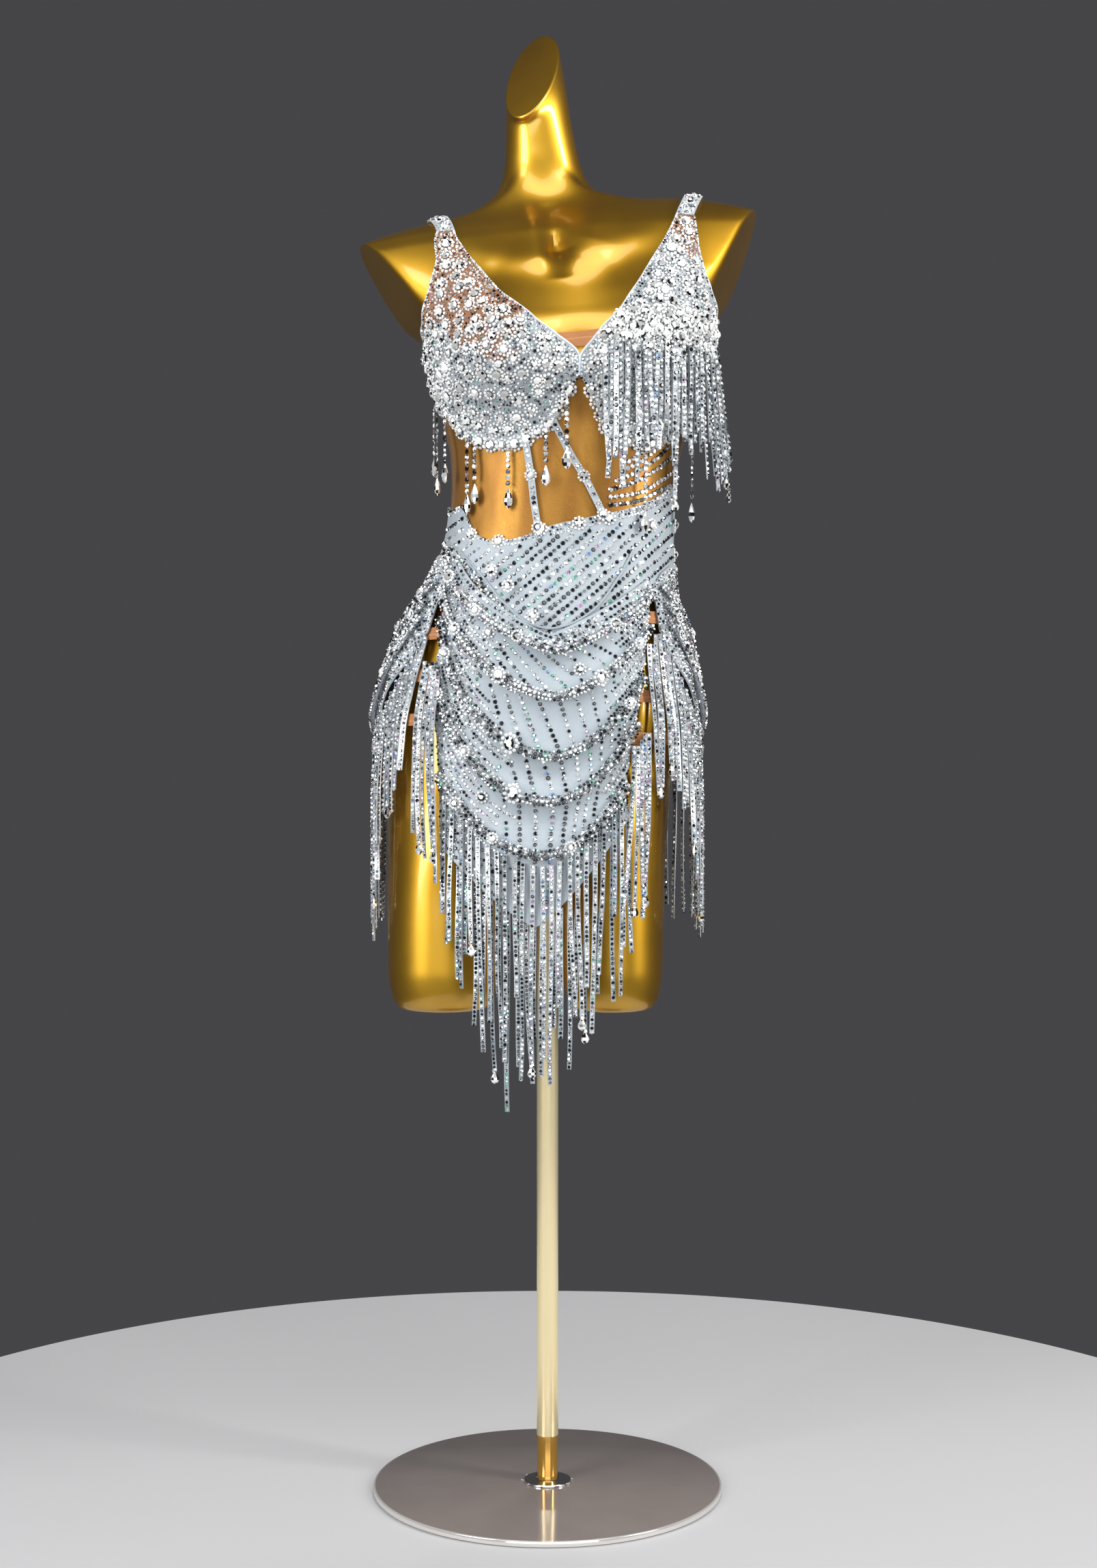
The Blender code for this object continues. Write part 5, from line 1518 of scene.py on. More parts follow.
def buildBands():
    bag, out = stoneBag(51), layers["trim"][1]
    for name in ("band_inner", "band_outer"):
        points, flowers, long = bands[name]
        line = route(points)

        def place(u, v, out):
            u, v = arrays(u, v)
            here, ahead = line(v), line(np.minimum(v + 0.02, 1)) - line(np.maximum(v - 0.02, 0))
            angle, height = here[..., 0], here[..., 1]
            along = onBody(angle + ahead[..., 0], height + ahead[..., 1]) - onBody(angle, height)
            side = unit(np.cross(along, normalOn(onBody, angle, height)))
            return movedOut(onBody, angle, height, out) + side * (bands["width"] * (0.5 - u))[..., None]

        cloth(
            name, place, 3, 40, layers["trim"], blueFinish, (bands["cut"], long), "stretched",
            ["midriff_front_cloth"], bands["width"] * long,
        )
        pack = packing()
        for share in flowers:
            for shift in (0, *bands["sideAt"]):
                size, clear = bands["sideFlower" if shift else "flower"]
                at, facing = facingOn(place, 0.5, min(share + shift, 0.99), out)
                if pack.put(at, clear) or not shift:
                    bag.flower(at, facing, size, 7 if shift else 10)
        middle = edgeOf(place, "u", 0.5, 120, out)
        stoneRow(bag, middle, bands["pitch"], bands["stone"], whiteMix, "round", pack)
    bag.piece("band_stones")


buildBands()

arcs = {
    "stone": 0.0025, "pitch": 0.0059,
    "lines": (
        ((0.064, 1.0056), (0.0896, 1.0091), (0.1106, 1.0196), (0.13, 1.033)),
        ((0.064, 1.0135), (0.0914, 1.018), (0.1141, 1.031), (0.129, 1.043)),
        ((0.064, 1.0215), (0.0896, 1.0301), (0.1106, 1.043), (0.126, 1.057)),
        ((0.07, 1.031), (0.091, 1.04), (0.11, 1.054), (0.1235, 1.068)),
        ((0.076, 1.041), (0.093, 1.05), (0.11, 1.064), (0.122, 1.078)),
        ((0.082, 1.051), (0.096, 1.06), (0.11, 1.074), (0.12, 1.087)),
    ),
}


def buildArcs():
    # crystal chains over the bare waist at the wearer's left, set on thin thread
    bag = stoneBag(53)
    for n, line in enumerate(arcs["lines"]):
        places = np.column_stack(seenAt(onBody, *np.transpose(line)))
        chain = lineOn(onBody, places, layers["mesh"][1] + 0.0008)
        cord(f"arc_thread_{n + 1}", chain[0], 0.0006, backingLook, "rhinestone", sides=5)
        stoneRow(bag, chain, arcs["pitch"], arcs["stone"], whiteMix, "round")
    bag.piece("arc_stones")


buildArcs()


# ---- skirt

apron = {
    "cells": (120, 132), "flat": (0.32, 0.31), "area": 0.0588,
    "fold": 0.0038, "foldFade": 0.55, "easeRows": 1.0,
    "gathers": (0.0011, -0.0012, 0.0002),  # how deep, the deepest and how far they stand out
    "swags": (
        (0, -60, 0.958, 1.15, 3, 0.867, 48.5, 0.925, 1.1),
        (1, -57, 0.946, 1.45, 7, 0.85, 47.8, 0.91, 1.2),
        (2, -47.5, 0.912, 1.8, 7.6, 0.805, 44.3, 0.8759, 1.4),
        (3, -43.5, 0.884, 2, 5.9, 0.747, 39.6, 0.8247, 1.6),
        (4, -40.8, 0.838, 2.2, 4.5, 0.703, 34.9, 0.7793, 1.8),
        (5, -34.2, 0.73, 2, 2.2, 0.6505, 31, 0.72, 1.8),
        (6, -33.5, 0.66, 1.25, -0.5, 0.58, 32, 0.688, 1.25),
    ),
}
swagTable = curveTable(
    "row rightAngle rightHeight rightPower lowAngle lowHeight leftAngle leftHeight leftPower",
    apron["swags"],
)


def apronPlace(s, row):
    s, row = arrays(s, row)
    swag = swagTable.at(row)
    right = s < 0
    end = np.where(right, swag.rightAngle, swag.leftAngle)
    height = np.where(right, swag.rightHeight, swag.leftHeight)
    power = np.where(right, swag.rightPower, swag.leftPower)
    share = np.abs(s)
    return mix(swag.lowAngle, end, share), mix(swag.lowHeight, height, share**power)


def apronAt(s, row, out, fold=None):
    s, row, out = arrays(s, row, out)
    angle, height = apronPlace(s, row)
    crest = apron["fold"] * smooth(row) * (1 - apron["foldFade"] * np.abs(s))
    if fold is None:
        fold = (1 + np.cos(2 * math.pi * row)) / 2
        # gathers that run in from both ends and sink between the ropes
        deep, deepest, proud = apron["gathers"]
        ends = np.abs(s) ** 2.2 * smooth(row) * smooth((6 - row) / 0.8)
        gather = deep * ends * (np.sin(2 * math.pi * row * 3 + 1.2 * s) + np.sin(2 * math.pi * row * 2 + 0.7))
        out = out + np.maximum(gather, deepest) + proud
    onHip = movedOut(onBody, angle, np.maximum(height, hipHeight), layers["hipOut"] + out)
    hanging = movedOut(onSkirt, angle, height, out + crest * fold)
    return mix(onHip, hanging, smooth(row / apron["easeRows"])[..., None])


def apronRun(u, v, out):
    return apronAt(2 * np.asarray(u, float) - 1, 6 * np.asarray(v, float), out)


ropes = {
    "radius": 0.0038, "lift": 0.0008, "net": 0.0026,
    # rows of stones on a rope: turn in degrees, shift sideways, pitch and radius
    "rows": ((0, 0.0, 0.005, 0.0023), (28, 0.004, 0.004, 0.0017), (-28, -0.004, 0.004, 0.0017)),
    # flowers on each front rope: where along it, size and how tall
    "flowers": {
        1: ((0.1, 0.0042, 1.0), (0.27, 0.0036, 1.0), (0.44, 0.0036, 1.0), (0.8, 0.0036, 1.0)),
        2: ((0.16, 0.004, 1.0), (0.38, 0.0044, 1.25), (0.74, 0.0044, 1.25), (0.92, 0.0036, 1.0)),
        3: ((0.12, 0.0038, 1.0), (0.47, 0.0052, 1.35), (0.9, 0.0036, 1.0)),
        4: ((0.1, 0.0038, 1.0), (0.3, 0.0036, 1.0), (0.5, 0.005, 1.35)),
        5: ((0.14, 0.0038, 1.0), (0.34, 0.0036, 1.0), (0.66, 0.0036, 1.0)),
    },
    # number, height at the ends and at the back's middle
    "back": ((1, 0.92, 0.812), (2, 0.902, 0.776), (3, 0.886, 0.742)),
    "backEnds": (56, 304), "backPower": 3.0,
    "backFlowers": tuple((share, 0.0032, 1.0) for share in (0.03, 0.1, 0.9, 0.97)),
}


def rope(bag, pack, name, line, mixture, flowers, number):
    # a rounded cord of silver net, covered by three rows of stones
    points, facings = line
    cord(f"{name}_net", points - facings * 0.0008, ropes["net"], backingLook, "rhinestone", [name], 8)
    side = unit(np.cross(unit(np.gradient(points, axis=0)), facings))
    along = runAlong(points)
    for share, size, stretch in flowers:
        at, facing = (
            Vector([np.interp(share * along[-1], along, column) for column in each.T]) for each in line
        )
        at += facing * 0.0026
        if pack.put(at, size * 1.7):
            bag.flower(at, facing, size, 11, stretch)
    for turn, shift, pitch, radius in ropes["rows"]:
        turn = math.radians(turn)
        rows = points + facings * (ropes["net"] - 0.0004 - 0.22 * abs(shift)) + side * shift
        away = facings * math.cos(turn) + side * math.sin(turn)
        stoneRow(bag, (rows, away), pitch, radius, mixture, pack=pack, start=0.0017 * (number % 2) + 0.0006)


def buildApron():
    cloth(
        "apron", apronRun, *apron["cells"], (0.0, clothThick), blueFinish, apron["flat"], "draped",
        ["yoke_front_cloth"], apron["area"],
    )
    pack, bag = packing(), stoneBag(61)
    lift = clothThick + ropes["radius"] + ropes["lift"]
    for row, flowers in ropes["flowers"].items():
        line = facingOn(apronAt, np.linspace(-1, 1, 200), row, lift, fold=1)
        rope(bag, pack, f"rope_front_{row}", line, whiteMix if row < 3 else greyMix, flowers, row)
    bag.piece("rope_stones_front")
    return pack


apronPack = buildApron()

apronStones = {
    "columns": 22, "columnPitch": 0.0056, "columnStones": (0.0024, 0.0021),
    # how far each row has leaned at each row of the swags
    "lean": ((0, -1.3), (1, -0.79), (2, -0.36), (3, -0.15), (4, -0.04), (6, 0.0)),
    "topRows": (0.24, 0.44, 0.64), "topPitch": 0.0052, "topStone": 0.0021,
    "hipRows": (0.1, 5.95, 0.145), "hipPitch": 0.0041, "hipStone": 0.0019,
    "ends": ((-1.0, -0.52, 9000), (0.66, 1.0, 5200)), "endStones": (0.0019, 0.0015, 0.0013),
    "jewels": (
        (-0.0577, 0.9391), (-0.0409, 0.9234), (-0.0717, 0.8943), (-0.0605, 0.8755), (-0.0157, 0.893),
        (-0.0675, 0.7065), (-0.0927, 0.8482), (-0.0885, 0.8112), (0.0333, 0.8377), (-0.1025, 0.7818),
        (-0.0997, 0.7258), (-0.0769, 0.6716), (-0.0244, 0.7048),
    ),
}


def buildApronStones():
    # dotted rows that fan down the apron, jewels on the folds, and stones scattered by the hips
    shape, pack = apronStones, apronPack
    bag, chooser = stoneBag(63), np.random.default_rng(64)
    jewels(bag, lambda angle, height: movedOut(onSkirt, angle, height, clothThick + 0.002),
           shape["jewels"], 0.0, 0.0038, pack)

    def dotted(s, row, pitch, radius, mixture, most):
        line = facingOn(apronAt, s, row, clothThick)
        stoneRow(bag, line, pitch, radius, mixture, pack=pack, start=chooser.uniform(0, most))

    # close rows that run in from both hips between the ropes
    for row in shape["topRows"]:
        dotted(np.linspace(-1, 1, 300), row, shape["topPitch"], shape["topStone"], greyMix, 0.003)
    for row in np.arange(*shape["hipRows"]):
        if abs(row - round(row)) < 0.1 and row > 0.5:
            continue
        for first, last in ((-1.0, -1 + chooser.uniform(0.3, 0.76)), (1 - chooser.uniform(0.16, 0.5), 1.0)):
            mixture = whiteMix if chooser.random() < 0.6 else greyMix
            dotted(np.linspace(first, last, 160), row, shape["hipPitch"], shape["hipStone"], mixture, 0.003)
    rows = np.linspace(0.16, 5.86, 300)
    for n in range(shape["columns"]):
        # each row leans away from the wearer's right hip, and hangs plumb near the hem
        share = n / (shape["columns"] - 1)
        drift = mix(-0.97, 1.8, share) + np.interp(rows, *np.array(shape["lean"]).T) + 0.02 * np.sin(rows + n)
        inside = np.abs(drift) < 0.97
        if inside.sum() < 8:
            continue
        mixture = (darkMix, greyMix, auroraMix)[n % 3] if share < 0.75 else whiteMix
        radius = shape["columnStones"][share >= 0.45]
        dotted(drift[inside], rows[inside], shape["columnPitch"], radius, mixture, 0.005)
    # small stones cover the ends of the swags
    for low, high, tries in shape["ends"]:
        s, row = chooser.uniform(low, high, tries), chooser.uniform(0.05, 5.9, tries)
        keep = (np.abs(s) - min(abs(low), abs(high))) / (high - low) > chooser.random(tries) * 0.9
        for n, (point, facing) in enumerate(zip(*facingOn(apronAt, s[keep], row[keep], clothThick))):
            radius = shape["endStones"][n % 3]
            if pack.put(point, radius):
                bag.add(point, facing, radius, bag.finish(greyMix))
    bag.piece("apron_stones")


buildApronStones()

piping = {
    "radius": 0.0012, "pitch": 0.0043,
    # rows of stones below it: how far down, radius, mixture and points from the start
    "rows": ((0.0048, 0.0019, whiteMix, 120), (0.0088, 0.0016, greyMix, 116)),
    # as seen from the front, from the wearer's right hip to high on the left
    "line": (
        (-0.099, 0.968), (-0.091, 0.9615), (-0.0658, 0.9328), (-0.0427, 0.9041), (-0.0196, 0.8845),
        (0.0028, 0.8789), (0.0175, 0.8817), (0.0462, 0.8985), (0.0714, 0.9328), (0.085, 0.96),
    ),
}


def buildPiping():
    # a corded edge along the cowl that runs up to the waist, with stones beside it
    places = np.column_stack(seenAt(onBody, *np.transpose(piping["line"])))
    out = layers["cloth"][1] + piping["radius"] + 0.0004
    points, facings = lineOn(onBody, places, out, 160)
    cord("cowl_piping_cord", points, piping["radius"], clothLook, "blue_piping", ["cowl_piping"], 12)
    bag, pack = stoneBag(65), packing()
    side = unit(np.cross(unit(np.gradient(points, axis=0)), facings))
    for drop, radius, mixture, last in piping["rows"]:
        rows = points + side * drop - facings * (out - layers["cloth"][1] - 0.0014)
        stoneRow(bag, (rows[:last], facings[:last]), piping["pitch"], radius, mixture, pack=pack)
    bag.piece("cowl_stones")


buildPiping()
print("apron made")

backSkirt = {
    "waves": 8, "waveOut": 0.005, "cells": (300, 40), "flat": (0.78, 0.235), "area": 0.118,
    "edges": (
        (51, 0.913, 0.872), (60, 0.933, 0.838), (74, 0.942, 0.794), (90, 0.944, 0.76), (125, 0.942, 0.728),
        (180, 0.94, 0.712), (235, 0.942, 0.728), (270, 0.945, 0.757), (286, 0.95, 0.79), (298, 0.946, 0.83),
        (305, 0.928, 0.852), (310, 0.912, 0.872),
    ),
}
backTable = curveTable("angle top bottom", backSkirt["edges"])
backFirst, backLast = backSkirt["edges"][0][0], backSkirt["edges"][-1][0]


def backSkirtAt(angle, share, out, wave=None):
    angle, share, out = arrays(angle, share, out)
    edge = backTable.at(angle)
    height = mix(edge.top, edge.bottom, share)
    if wave is None:
        turns = backSkirt["waves"] * (angle - backFirst) / (backLast - backFirst)
        wave = (1 - np.cos(2 * math.pi * turns)) / 2
        out = out + 0.0008 * share * (1 + np.sin(2 * math.pi * turns * 2.0 + 2.0))
    onHip = movedOut(onBody, angle, height, layers["hipOut"] + out)
    hanging = movedOut(onSkirt, angle, height, out + backSkirt["waveOut"] * share * wave)
    return mix(onHip, hanging, smooth(share * 3)[..., None])


def backRun(u, v, out):
    return backSkirtAt(mix(backFirst, backLast, np.asarray(u, float)), v, out)


backStones = {
    "rows": 40, "stone": 0.0018, "sides": ((51.6, 136), (224, 309.4)), "pitch": 0.0047, "start": 0.0023,
    "middle": (137, 223), "widePitch": 0.01, "wideStart": 0.005,
}


def buildBackSkirt():
    cloth(
        "skirt_back", backRun, *backSkirt["cells"], (0.0, clothThick), blueFinish, backSkirt["flat"], "hung",
        ["yoke_back_cloth"], backSkirt["area"],
    )
    pack, bag = packing(), stoneBag(71)
    lift = clothThick + ropes["radius"] + 1.5 * ropes["lift"]
    across = np.linspace(0, 1, 320)
    angle = mix(*ropes["backEnds"], across)
    edge = backTable.at(angle)
    for row, endHeight, lowHeight in ropes["back"]:
        height = mix(lowHeight, endHeight, np.abs(2 * across - 1) ** ropes["backPower"])
        down = (edge.top - height) / (edge.top - edge.bottom)
        line = facingOn(backSkirtAt, angle, down, lift, wave=1)
        rope(bag, pack, f"rope_back_{row}", line, whiteMix, ropes["backFlowers"], row)
    bag.piece("rope_stones_back")
    # rows of small stones, close at the sides and wide apart at the back
    bag, shape = stoneBag(72), backStones
    for n in range(shape["rows"]):
        share = 0.03 + 0.94 * n / (shape["rows"] - 1)
        for first, last in shape["sides"]:
            line = facingOn(backSkirtAt, np.linspace(first, last, 200), share, clothThick)
            mixture, start = greyMix if n % 3 == 1 else whiteMix, shape["start"] * (n % 2)
            stoneRow(bag, line, shape["pitch"], shape["stone"], mixture, pack=pack, start=start)
        if n % 4 == 1:
            line = facingOn(backSkirtAt, np.linspace(*shape["middle"], 300), share, clothThick)
            stoneRow(bag, line, shape["widePitch"], shape["stone"], whiteMix, pack=pack,
                     start=shape["wideStart"] * (n % 8 == 1))
    bag.piece("skirt_back_stones")


buildBackSkirt()

slitElastics = {
    "layer": (-0.0014, -0.0006), "width": 0.012, "cutWidth": 0.0124, "radius": 0.155,
    "places": (
        ("right_1", 0.87, -54.0, -40.5), ("right_2", 0.828, -54.0, -38.5), ("right_3", 0.784, -56.0, -37.3),
        ("left_1", 0.886, 41.5, 54.0), ("left_2", 0.807, 33.5, 55.0), ("left_3", 0.765, 29.0, 56.0),
    ),
}


def buildSlitElastics():
    for number, height, first, last in slitElastics["places"]:
        def place(u, v, out):
            u, v = arrays(u, v)
            return movedOut(onSkirt, mix(first, last, u), height + slitElastics["width"] * (0.5 - v), out)

        flat = ((last - first) * math.pi / 180 * slitElastics["radius"], slitElastics["cutWidth"])
        cloth(f"slit_elastic_{number}", place, 24, 6, slitElastics["layer"], elasticFinish, flat, "stretched",
              ["apron_cloth", "skirt_back_cloth"])


buildSlitElastics()
print("skirt made")


# ---- fringe

strips = {
    "width": 0.0058, "thick": 0.0011, "headHeight": 0.004, "headThick": 0.0014,
    "stone": 0.002, "pitch": 0.0049, "rows": 15, "pendant": (0.0085, 0.0125),
    # how unevenly they hang: side to side, leaning, the most they lean, apart, off the front and turned
    "sway": 0.0016, "lean": 0.003, "mostLean": 0.005, "apart": 0.0009, "curl": 0.0006, "twist": 0.35,
}


def level(directions):
    # the same directions, laid level
    flat = np.array(directions, float)
    flat[..., 2] = 0
    return unit(flat)


def uneven(i, size):
    # how far strip number i ends above or below its line
    return size * np.sin(2.4 * i + 0.7) + 0.5 * size * np.sin(1.1 * i)


def evenRoots(edge, count, width):
    # equally spaced roots along edge(t): share, place, and the level direction away from the body
    t = np.linspace(0, 1, 241)
    along = runAlong(edge(t)[0][:, :2])
    middles = mix(width / 2, along[-1] - width / 2, np.arange(count) / (count - 1))
    share = np.interp(middles, along, t)
    return (share, *edge(share))


def ribbon(points, faces, middle, side, front, width, thick):
    # a thin flat strip with square ends, added to points and faces
    half, deep = side * (width / 2), front * (thick / 2)
    faces += tubeFaces(len(middle), 4, len(points))
    corners = (middle - half - deep, middle + half - deep, middle + half + deep, middle - half + deep)
    points.extend(np.stack(corners, axis=1).reshape(-1, 3))


def hungStrip(chooser, path, side, front):
    # one strip's path with its sway, its lean and its twist, then the ways its edge and its face point
    run = np.linspace(0, 1, len(path))[:, None]
    phase, turns = chooser.uniform(0, 6.3), chooser.uniform(0.4, 0.9)
    drop = abs(path[0, 2] - path[-1, 2])
    most, apart, ease = strips["mostLean"], strips["apart"], min(1, drop / 0.1)
    sway = strips["sway"] * ease * np.sin(phase + 2 * math.pi * turns * run) * run
    lean = np.clip(chooser.normal(0, strips["lean"]), -most, most) * ease * run**1.4
    path = path + side * (sway + lean + chooser.uniform(-apart, apart))
    path = path + front * (strips["curl"] * run * (1 + np.sin(phase * 2 + 5 * run)))
    twist = chooser.normal(0, strips["twist"]) * run * min(1, drop / 0.08)
    return path, side * np.cos(twist) + front * np.sin(twist), front * np.cos(twist) - side * np.sin(twist)


def fringe(name, edge, count, width, endsOf, look, seed, pendants=(), longer=(), tuck=0.002,
           inside=False, stone=None, replaced=True):
    # strips that hang from a narrow heading, with a row of stones down the front of each
    chooser, bag = np.random.default_rng(seed), stoneBag(seed)
    points, faces, lengths = [], [], []
    for i, (share, corner, front) in enumerate(zip(*evenRoots(edge, count, width))):
        path = endsOf(i, share, corner + front * strips["headThick"] / 2, strips["rows"])
        path = np.concatenate([[path[0] + [0, 0, strips["headHeight"] + chooser.uniform(0, tuck)]], path])
        if i in longer:
            path[:, 2] = mix(path[0, 2], longer[i], np.linspace(0, 1, len(path)))
        lengths.append(abs(path[0, 2] - path[-1, 2]))
        path, sides, fronts = hungStrip(chooser, path, np.array([-front[1], front[0], 0.0]), front)
        ribbon(points, faces, path, sides, fronts, width * chooser.uniform(0.92, 1.04), strips["thick"])
        mixture = look[int(chooser.random() * len(look))]
        size = stone or strips["stone"] * chooser.uniform(0.88, 1.06) * min(1, width / 0.005)
        pitch, proud = size * chooser.uniform(2.1, 2.45), fronts * strips["thick"] / 2
        stoneRow(bag, (path + proud, fronts), pitch, size, mixture, start=0.002)
        if inside:
            stoneRow(bag, (path - proud, -fronts), strips["pitch"] * 1.15, size * 0.95, mixture, start=0.003)
        if i in pendants:
            bag.drop(path[-1] + [0, 0, -0.0065] + front * 0.0005, front, *strips["pendant"])
            bag.add(path[-1] + front * 0.001, front, 0.0024, cut="round")
    flat = (round(count * width, 4), round(max(lengths), 4))
    box = flat[0] * flat[1]
    made = addPiece(f"{name}_strips", points, faces, stripLook, "fringe_cloth", (name,) if replaced else (),
                    sharp=25)
    min(max(sum(lengths) * width, 0.31 * box), box)
    bag.piece(f"{name}_stones")


apronEnds = curveTable("x end", (
    (-0.11, 0.605), (-0.1, 0.56), (-0.09, 0.54), (-0.068, 0.514), (-0.045, 0.474), (-0.015, 0.452),
    (0.008, 0.456), (0.03, 0.49), (0.052, 0.512), (0.066, 0.542), (0.09, 0.59),
))
backSkirtEnds = curveTable("angle end", (
    (51, 0.722), (60, 0.69), (70, 0.64), (80, 0.592), (90, 0.574), (120, 0.58), (180, 0.59), (240, 0.58),
    (270, 0.572), (280, 0.59), (290, 0.65), (300, 0.7), (310, 0.735),
))
bodiceEnds = curveTable("angle end", (
    (13, 1.034), (19, 1.01), (25, 1.016), (29, 1.044), (37, 1.05), (42, 1.034), (48, 1.05), (56, 1.044),
    (62, 1.022), (70, 1.016), (76, 1.034), (82, 1.05),
))


def straightDown(root, end, rows, swing=0.0):
    tip = np.array([root[0] + swing, root[1], end])
    return mix(root, tip, np.linspace(0, 1, rows)[:, None])


narrow = strips["width"] * 0.82
headBelow = strips["headHeight"] + 0.0012
apronFringes = {
    # swag row, how far sideways, distance out, distance down, count, unevenness, looks, seed,
    # ends of the longest strips, and the strips with a pendant
    "fringe_hem": (
        6.0, 1.0, 0.0, headBelow, 23, 0.028, (auroraMix, darkMix, greyMix, darkMix), 81,
        {6: 0.44, 8: 0.4}, (6, 17),
    ),
    "fringe_swag": (
        5.1, 0.95, clothThick + 0.0008, headBelow + ropes["radius"], 21, 0.044,
        (auroraMix, greyMix, palePinkMix, greyMix), 82, {10: 0.4455, 11: 0.4514, 15: 0.492}, (3, 10, 15),
    ),
}


def buildApronFringe():
    for name, (row, reach, out, down, count, vary, look, seed, longer, pendants) in apronFringes.items():
        def edge(t):
            corner = apronAt(reach * (2 * t - 1), row, out, fold=1) - np.array([0, 0, down])
            return corner, level(corner - np.array([0, 0.06, 0]))

        def endsOf(i, t, root, rows):
            return straightDown(root, float(apronEnds.at(root[0]).end) + uneven(i, vary), rows)

        fringe(name, edge, count, narrow, endsOf, look, seed, pendants, longer)


def followPath(root, surface, start, out, places):
    # keeps its distance from a surface on its way down
    origin = movedOut(surface, *start, out)
    return root + movedOut(surface, places[:, 0], places[:, 1], out) - origin


# the first number is how far the strips stand off the folds, to clear the ropes
tabs = {
    "fringe_tab_right": (0.008, (-44.2, 0.836), (-35.0, 0.815), (-42.4, 0.668), (-33.4, 0.634)),
    "fringe_tab_left": (0.0, (32.8, 0.748), (40.2, 0.765), (30.6, 0.592), (39.0, 0.604)),
    "fringe_hip_left": (0.0, (41.6, 0.846), (52.2, 0.872), (41.0, 0.7), (51.6, 0.742)),
}


def buildTabs():
    for seed, (name, (lift, *places)) in enumerate(tabs.items(), 91):
        first, last, firstEnd, lastEnd = (np.array(place) for place in places)
        out = clothThick + apron["fold"] / 2 + 0.0008 + lift
        onBack = name == "fringe_hip_left"

        def edge(t):
            angle, height = mix(first, last, t[..., None]).T
            corner = movedOut(onSkirt, angle, height, out)
            return corner, level(corner - onSkirt(angle, height))

        def endsOf(i, t, root, rows):
            start = mix(first, last, t)
            end = mix(firstEnd, lastEnd, t) + np.array([0, uneven(i, 0.012)])
            return followPath(root, onSkirt, start, out, mix(start, end, np.linspace(0, 1, rows)[:, None]))

        fringe(name, edge, 5, narrow, endsOf, (palePinkMix, whiteMix), seed,
               pendants=(1, 3), tuck=0.006,
               stone=0.0021, replaced=not onBack)


backFringes = {
    # first and last angle, count, looks, seed and the strips with a pendant
    "fringe_left": (51.3, 108.5, 19, (palePinkMix, shineMix, whiteMix), 95, (4, 9)),
    "fringe_back": (110, 250, 28, (whiteMix, greyMix), 96, ()),
    "fringe_right": (251.5, 309.7, 19, (palePinkMix, shineMix, shineMix), 97, (9, 14)),
}


def buildBackFringe():
    below = np.array([0, 0, strips["headHeight"] + 0.0008])
    for name, (first, last, count, look, seed, pendants) in backFringes.items():
        def edge(t):
            angle = mix(first, last, t)
            corner = backSkirtAt(angle, 1.0, 0.0, wave=0.5) - below
            return corner, level(normalOn(onSkirt, angle, corner[..., 2]))

        def endsOf(i, t, root, rows):
            angle = mix(first, last, t)
            end = float(backSkirtEnds.at(angle).end) + uneven(i, 0.011)
            places = np.column_stack([np.full(rows, angle), np.linspace(root[2], end, rows)])
            return followPath(root, onSkirt, (angle, root[2]), backSkirt["waveOut"] / 2, places)

        fringe(name, edge, count, strips["width"], endsOf, look, seed, pendants,
               inside=True)


def clearOf(surface, angle, low, high, out, base, away):
    # how far base moves along away to lie outside the surface between two heights
    push = np.zeros(np.shape(angle))
    for i in range(7):
        step = movedOut(surface, angle, mix(low, high, i / 6), out)
        push = np.maximum(push, ((step - base) * away).sum(axis=-1))
    return push


def postOf(surface, angle, height, out, low, high):
    base = movedOut(surface, angle, height, out)
    away = level(base - surface(angle, height))
    return base + away * clearOf(surface, angle, low, high, out, base, away)[..., None], away


bodiceFringes = {
    # first and last strip as (angle, height), distance out, count, how much shorter, seed,
    # the strips with a pendant and the ends of the longest strips
    "fringe_bodice_lower": ((13.5, 1.149), (79.0, 1.147), 0.005, 23, 0.0, 101, (10, 19, 20), {10: 0.998}),
    "fringe_bodice_upper": ((18.0, 1.16), (72.0, 1.162), 0.0072, 15, 0.022, 102, (), ()),
}
# flowers over the tops of the strips: height above them, start and share of places filled
coverRows = ((-0.02, 0.004, 0.16), (-0.01, 0.009, 0.42), (0.002, 0.001, 1.0), (0.012, 0.006, 1.0))


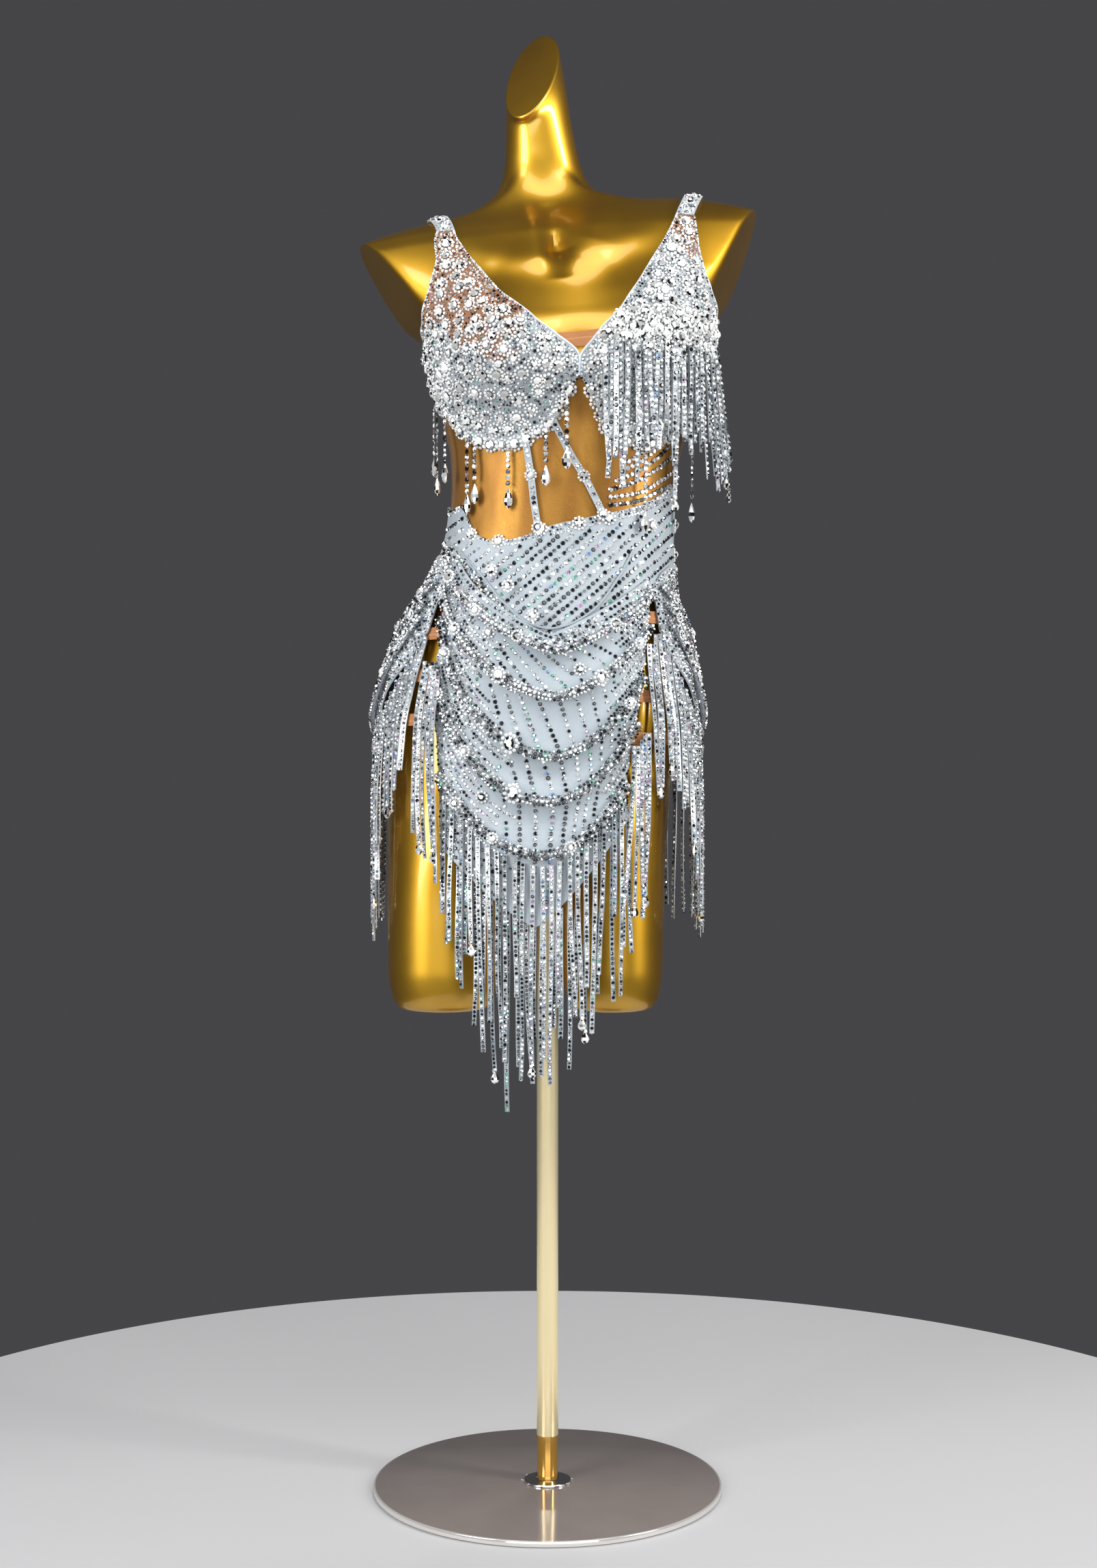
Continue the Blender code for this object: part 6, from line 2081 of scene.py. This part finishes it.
def buildBodiceFringe():
    cover = stoneBag(103)
    for name, (first, last, out, count, shorter, seed, pendants, longer) in bodiceFringes.items():
        first, last = np.array(first), np.array(last)

        def edge(t):
            angle, height = mix(first, last, t[..., None]).T
            return postOf(onBody, angle, height, out, height - 0.03, height)

        def endsOf(i, t, root, rows):
            angle = mix(first[0], last[0], t)
            end = float(bodiceEnds.at(angle).end) + uneven(i, 0.009) + shorter
            return straightDown(root, end, rows, 0.016 * float(smooth((angle - 50) / 26)))

        fringe(name, edge, count, 0.005, endsOf, (shineMix, whiteMix, shineMix), seed,
               pendants, longer, tuck=0.005, stone=0.0025)
        chooser = np.random.default_rng(seed)
        corners, away = edge(np.linspace(0, 1, 120))
        for lift, start, share in coverRows:
            rows = corners + away * 0.0024 + np.array([0, 0, lift])
            for point, facing in alongLine((rows, away), 0.0122, start):
                drop = np.array([0, 0, chooser.uniform(-0.004, 0.004)])
                if chooser.random() < share:
                    cover.flower(point + drop, facing, cupStones["flower"] * chooser.uniform(0.85, 1.05))
    cover.piece("fringe_cover_stones")


buildApronFringe()
buildTabs()
buildBackFringe()
buildBodiceFringe()

drops = {
    # (angle, height of its end) of each chain
    "right": (
        (-88, 1.036), (-76, 1.01), (-67, 1.024), (-52, 0.989), (-47, 0.998), (-28, 0.992),
        (-10, 1.014), (-1.5, 1.029),
    ),
    "left": ((40, 0.97), (72, 0.986)),
    "stone": 0.0026, "pitch": 0.0057, "wide": 0.0094, "high": 0.02, "steps": 24,
    "below": 0.003,  # how far under the cup's edge a chain starts
    # it stays this far off the cloth, from so far below a stone to so far above it
    "clear": 0.0028, "under": 0.006, "over": 0.008,
}


def buildDrops():
    # chains of single stones under the cups, each with a jewel at its end
    count = drops["steps"]
    for side in ("right", "left"):
        bag = stoneBag(111)
        fine = route(sorted(cups[side]["bottom"]))(np.linspace(0, 1, 400))
        for angle, end in drops[side]:
            height = float(np.interp(angle, fine[:, 0], fine[:, 1])) - drops["below"]
            base, away = postOf(
                onBody, np.array(angle), np.array(height), layers["cloth"][0], height - 0.001, height
            )
            base = base + away * 0.0008
            levels = np.linspace(height, end, count)
            middle = np.column_stack([np.full(count, base[0]), np.full(count, base[1]), levels])
            out = layers["cloth"][1] + drops["clear"]
            pushes = [
                clearOf(onBody, np.array(angle), z - drops["under"], z + drops["over"], out, p, away)
                for z, p in zip(levels, middle)
            ]
            middle = middle + away * np.maximum.accumulate(np.array(pushes))[:, None] * 0.999
            chain = middle[middle[:, 2] > end + drops["high"] - 0.001]
            line = (chain, np.repeat(away[None], len(chain), axis=0))
            stoneRow(bag, line, drops["pitch"], drops["stone"], whiteMix, "round", vary=0.04)
            jewel = middle[np.argmin(np.abs(middle[:, 2] - (end + drops["high"] / 2)))]
            bag.drop(jewel, away, drops["wide"], drops["high"])
        bag.piece(f"drop_stones_{side}", f"drops_{side}")


buildDrops()
print("fringe and drops made")
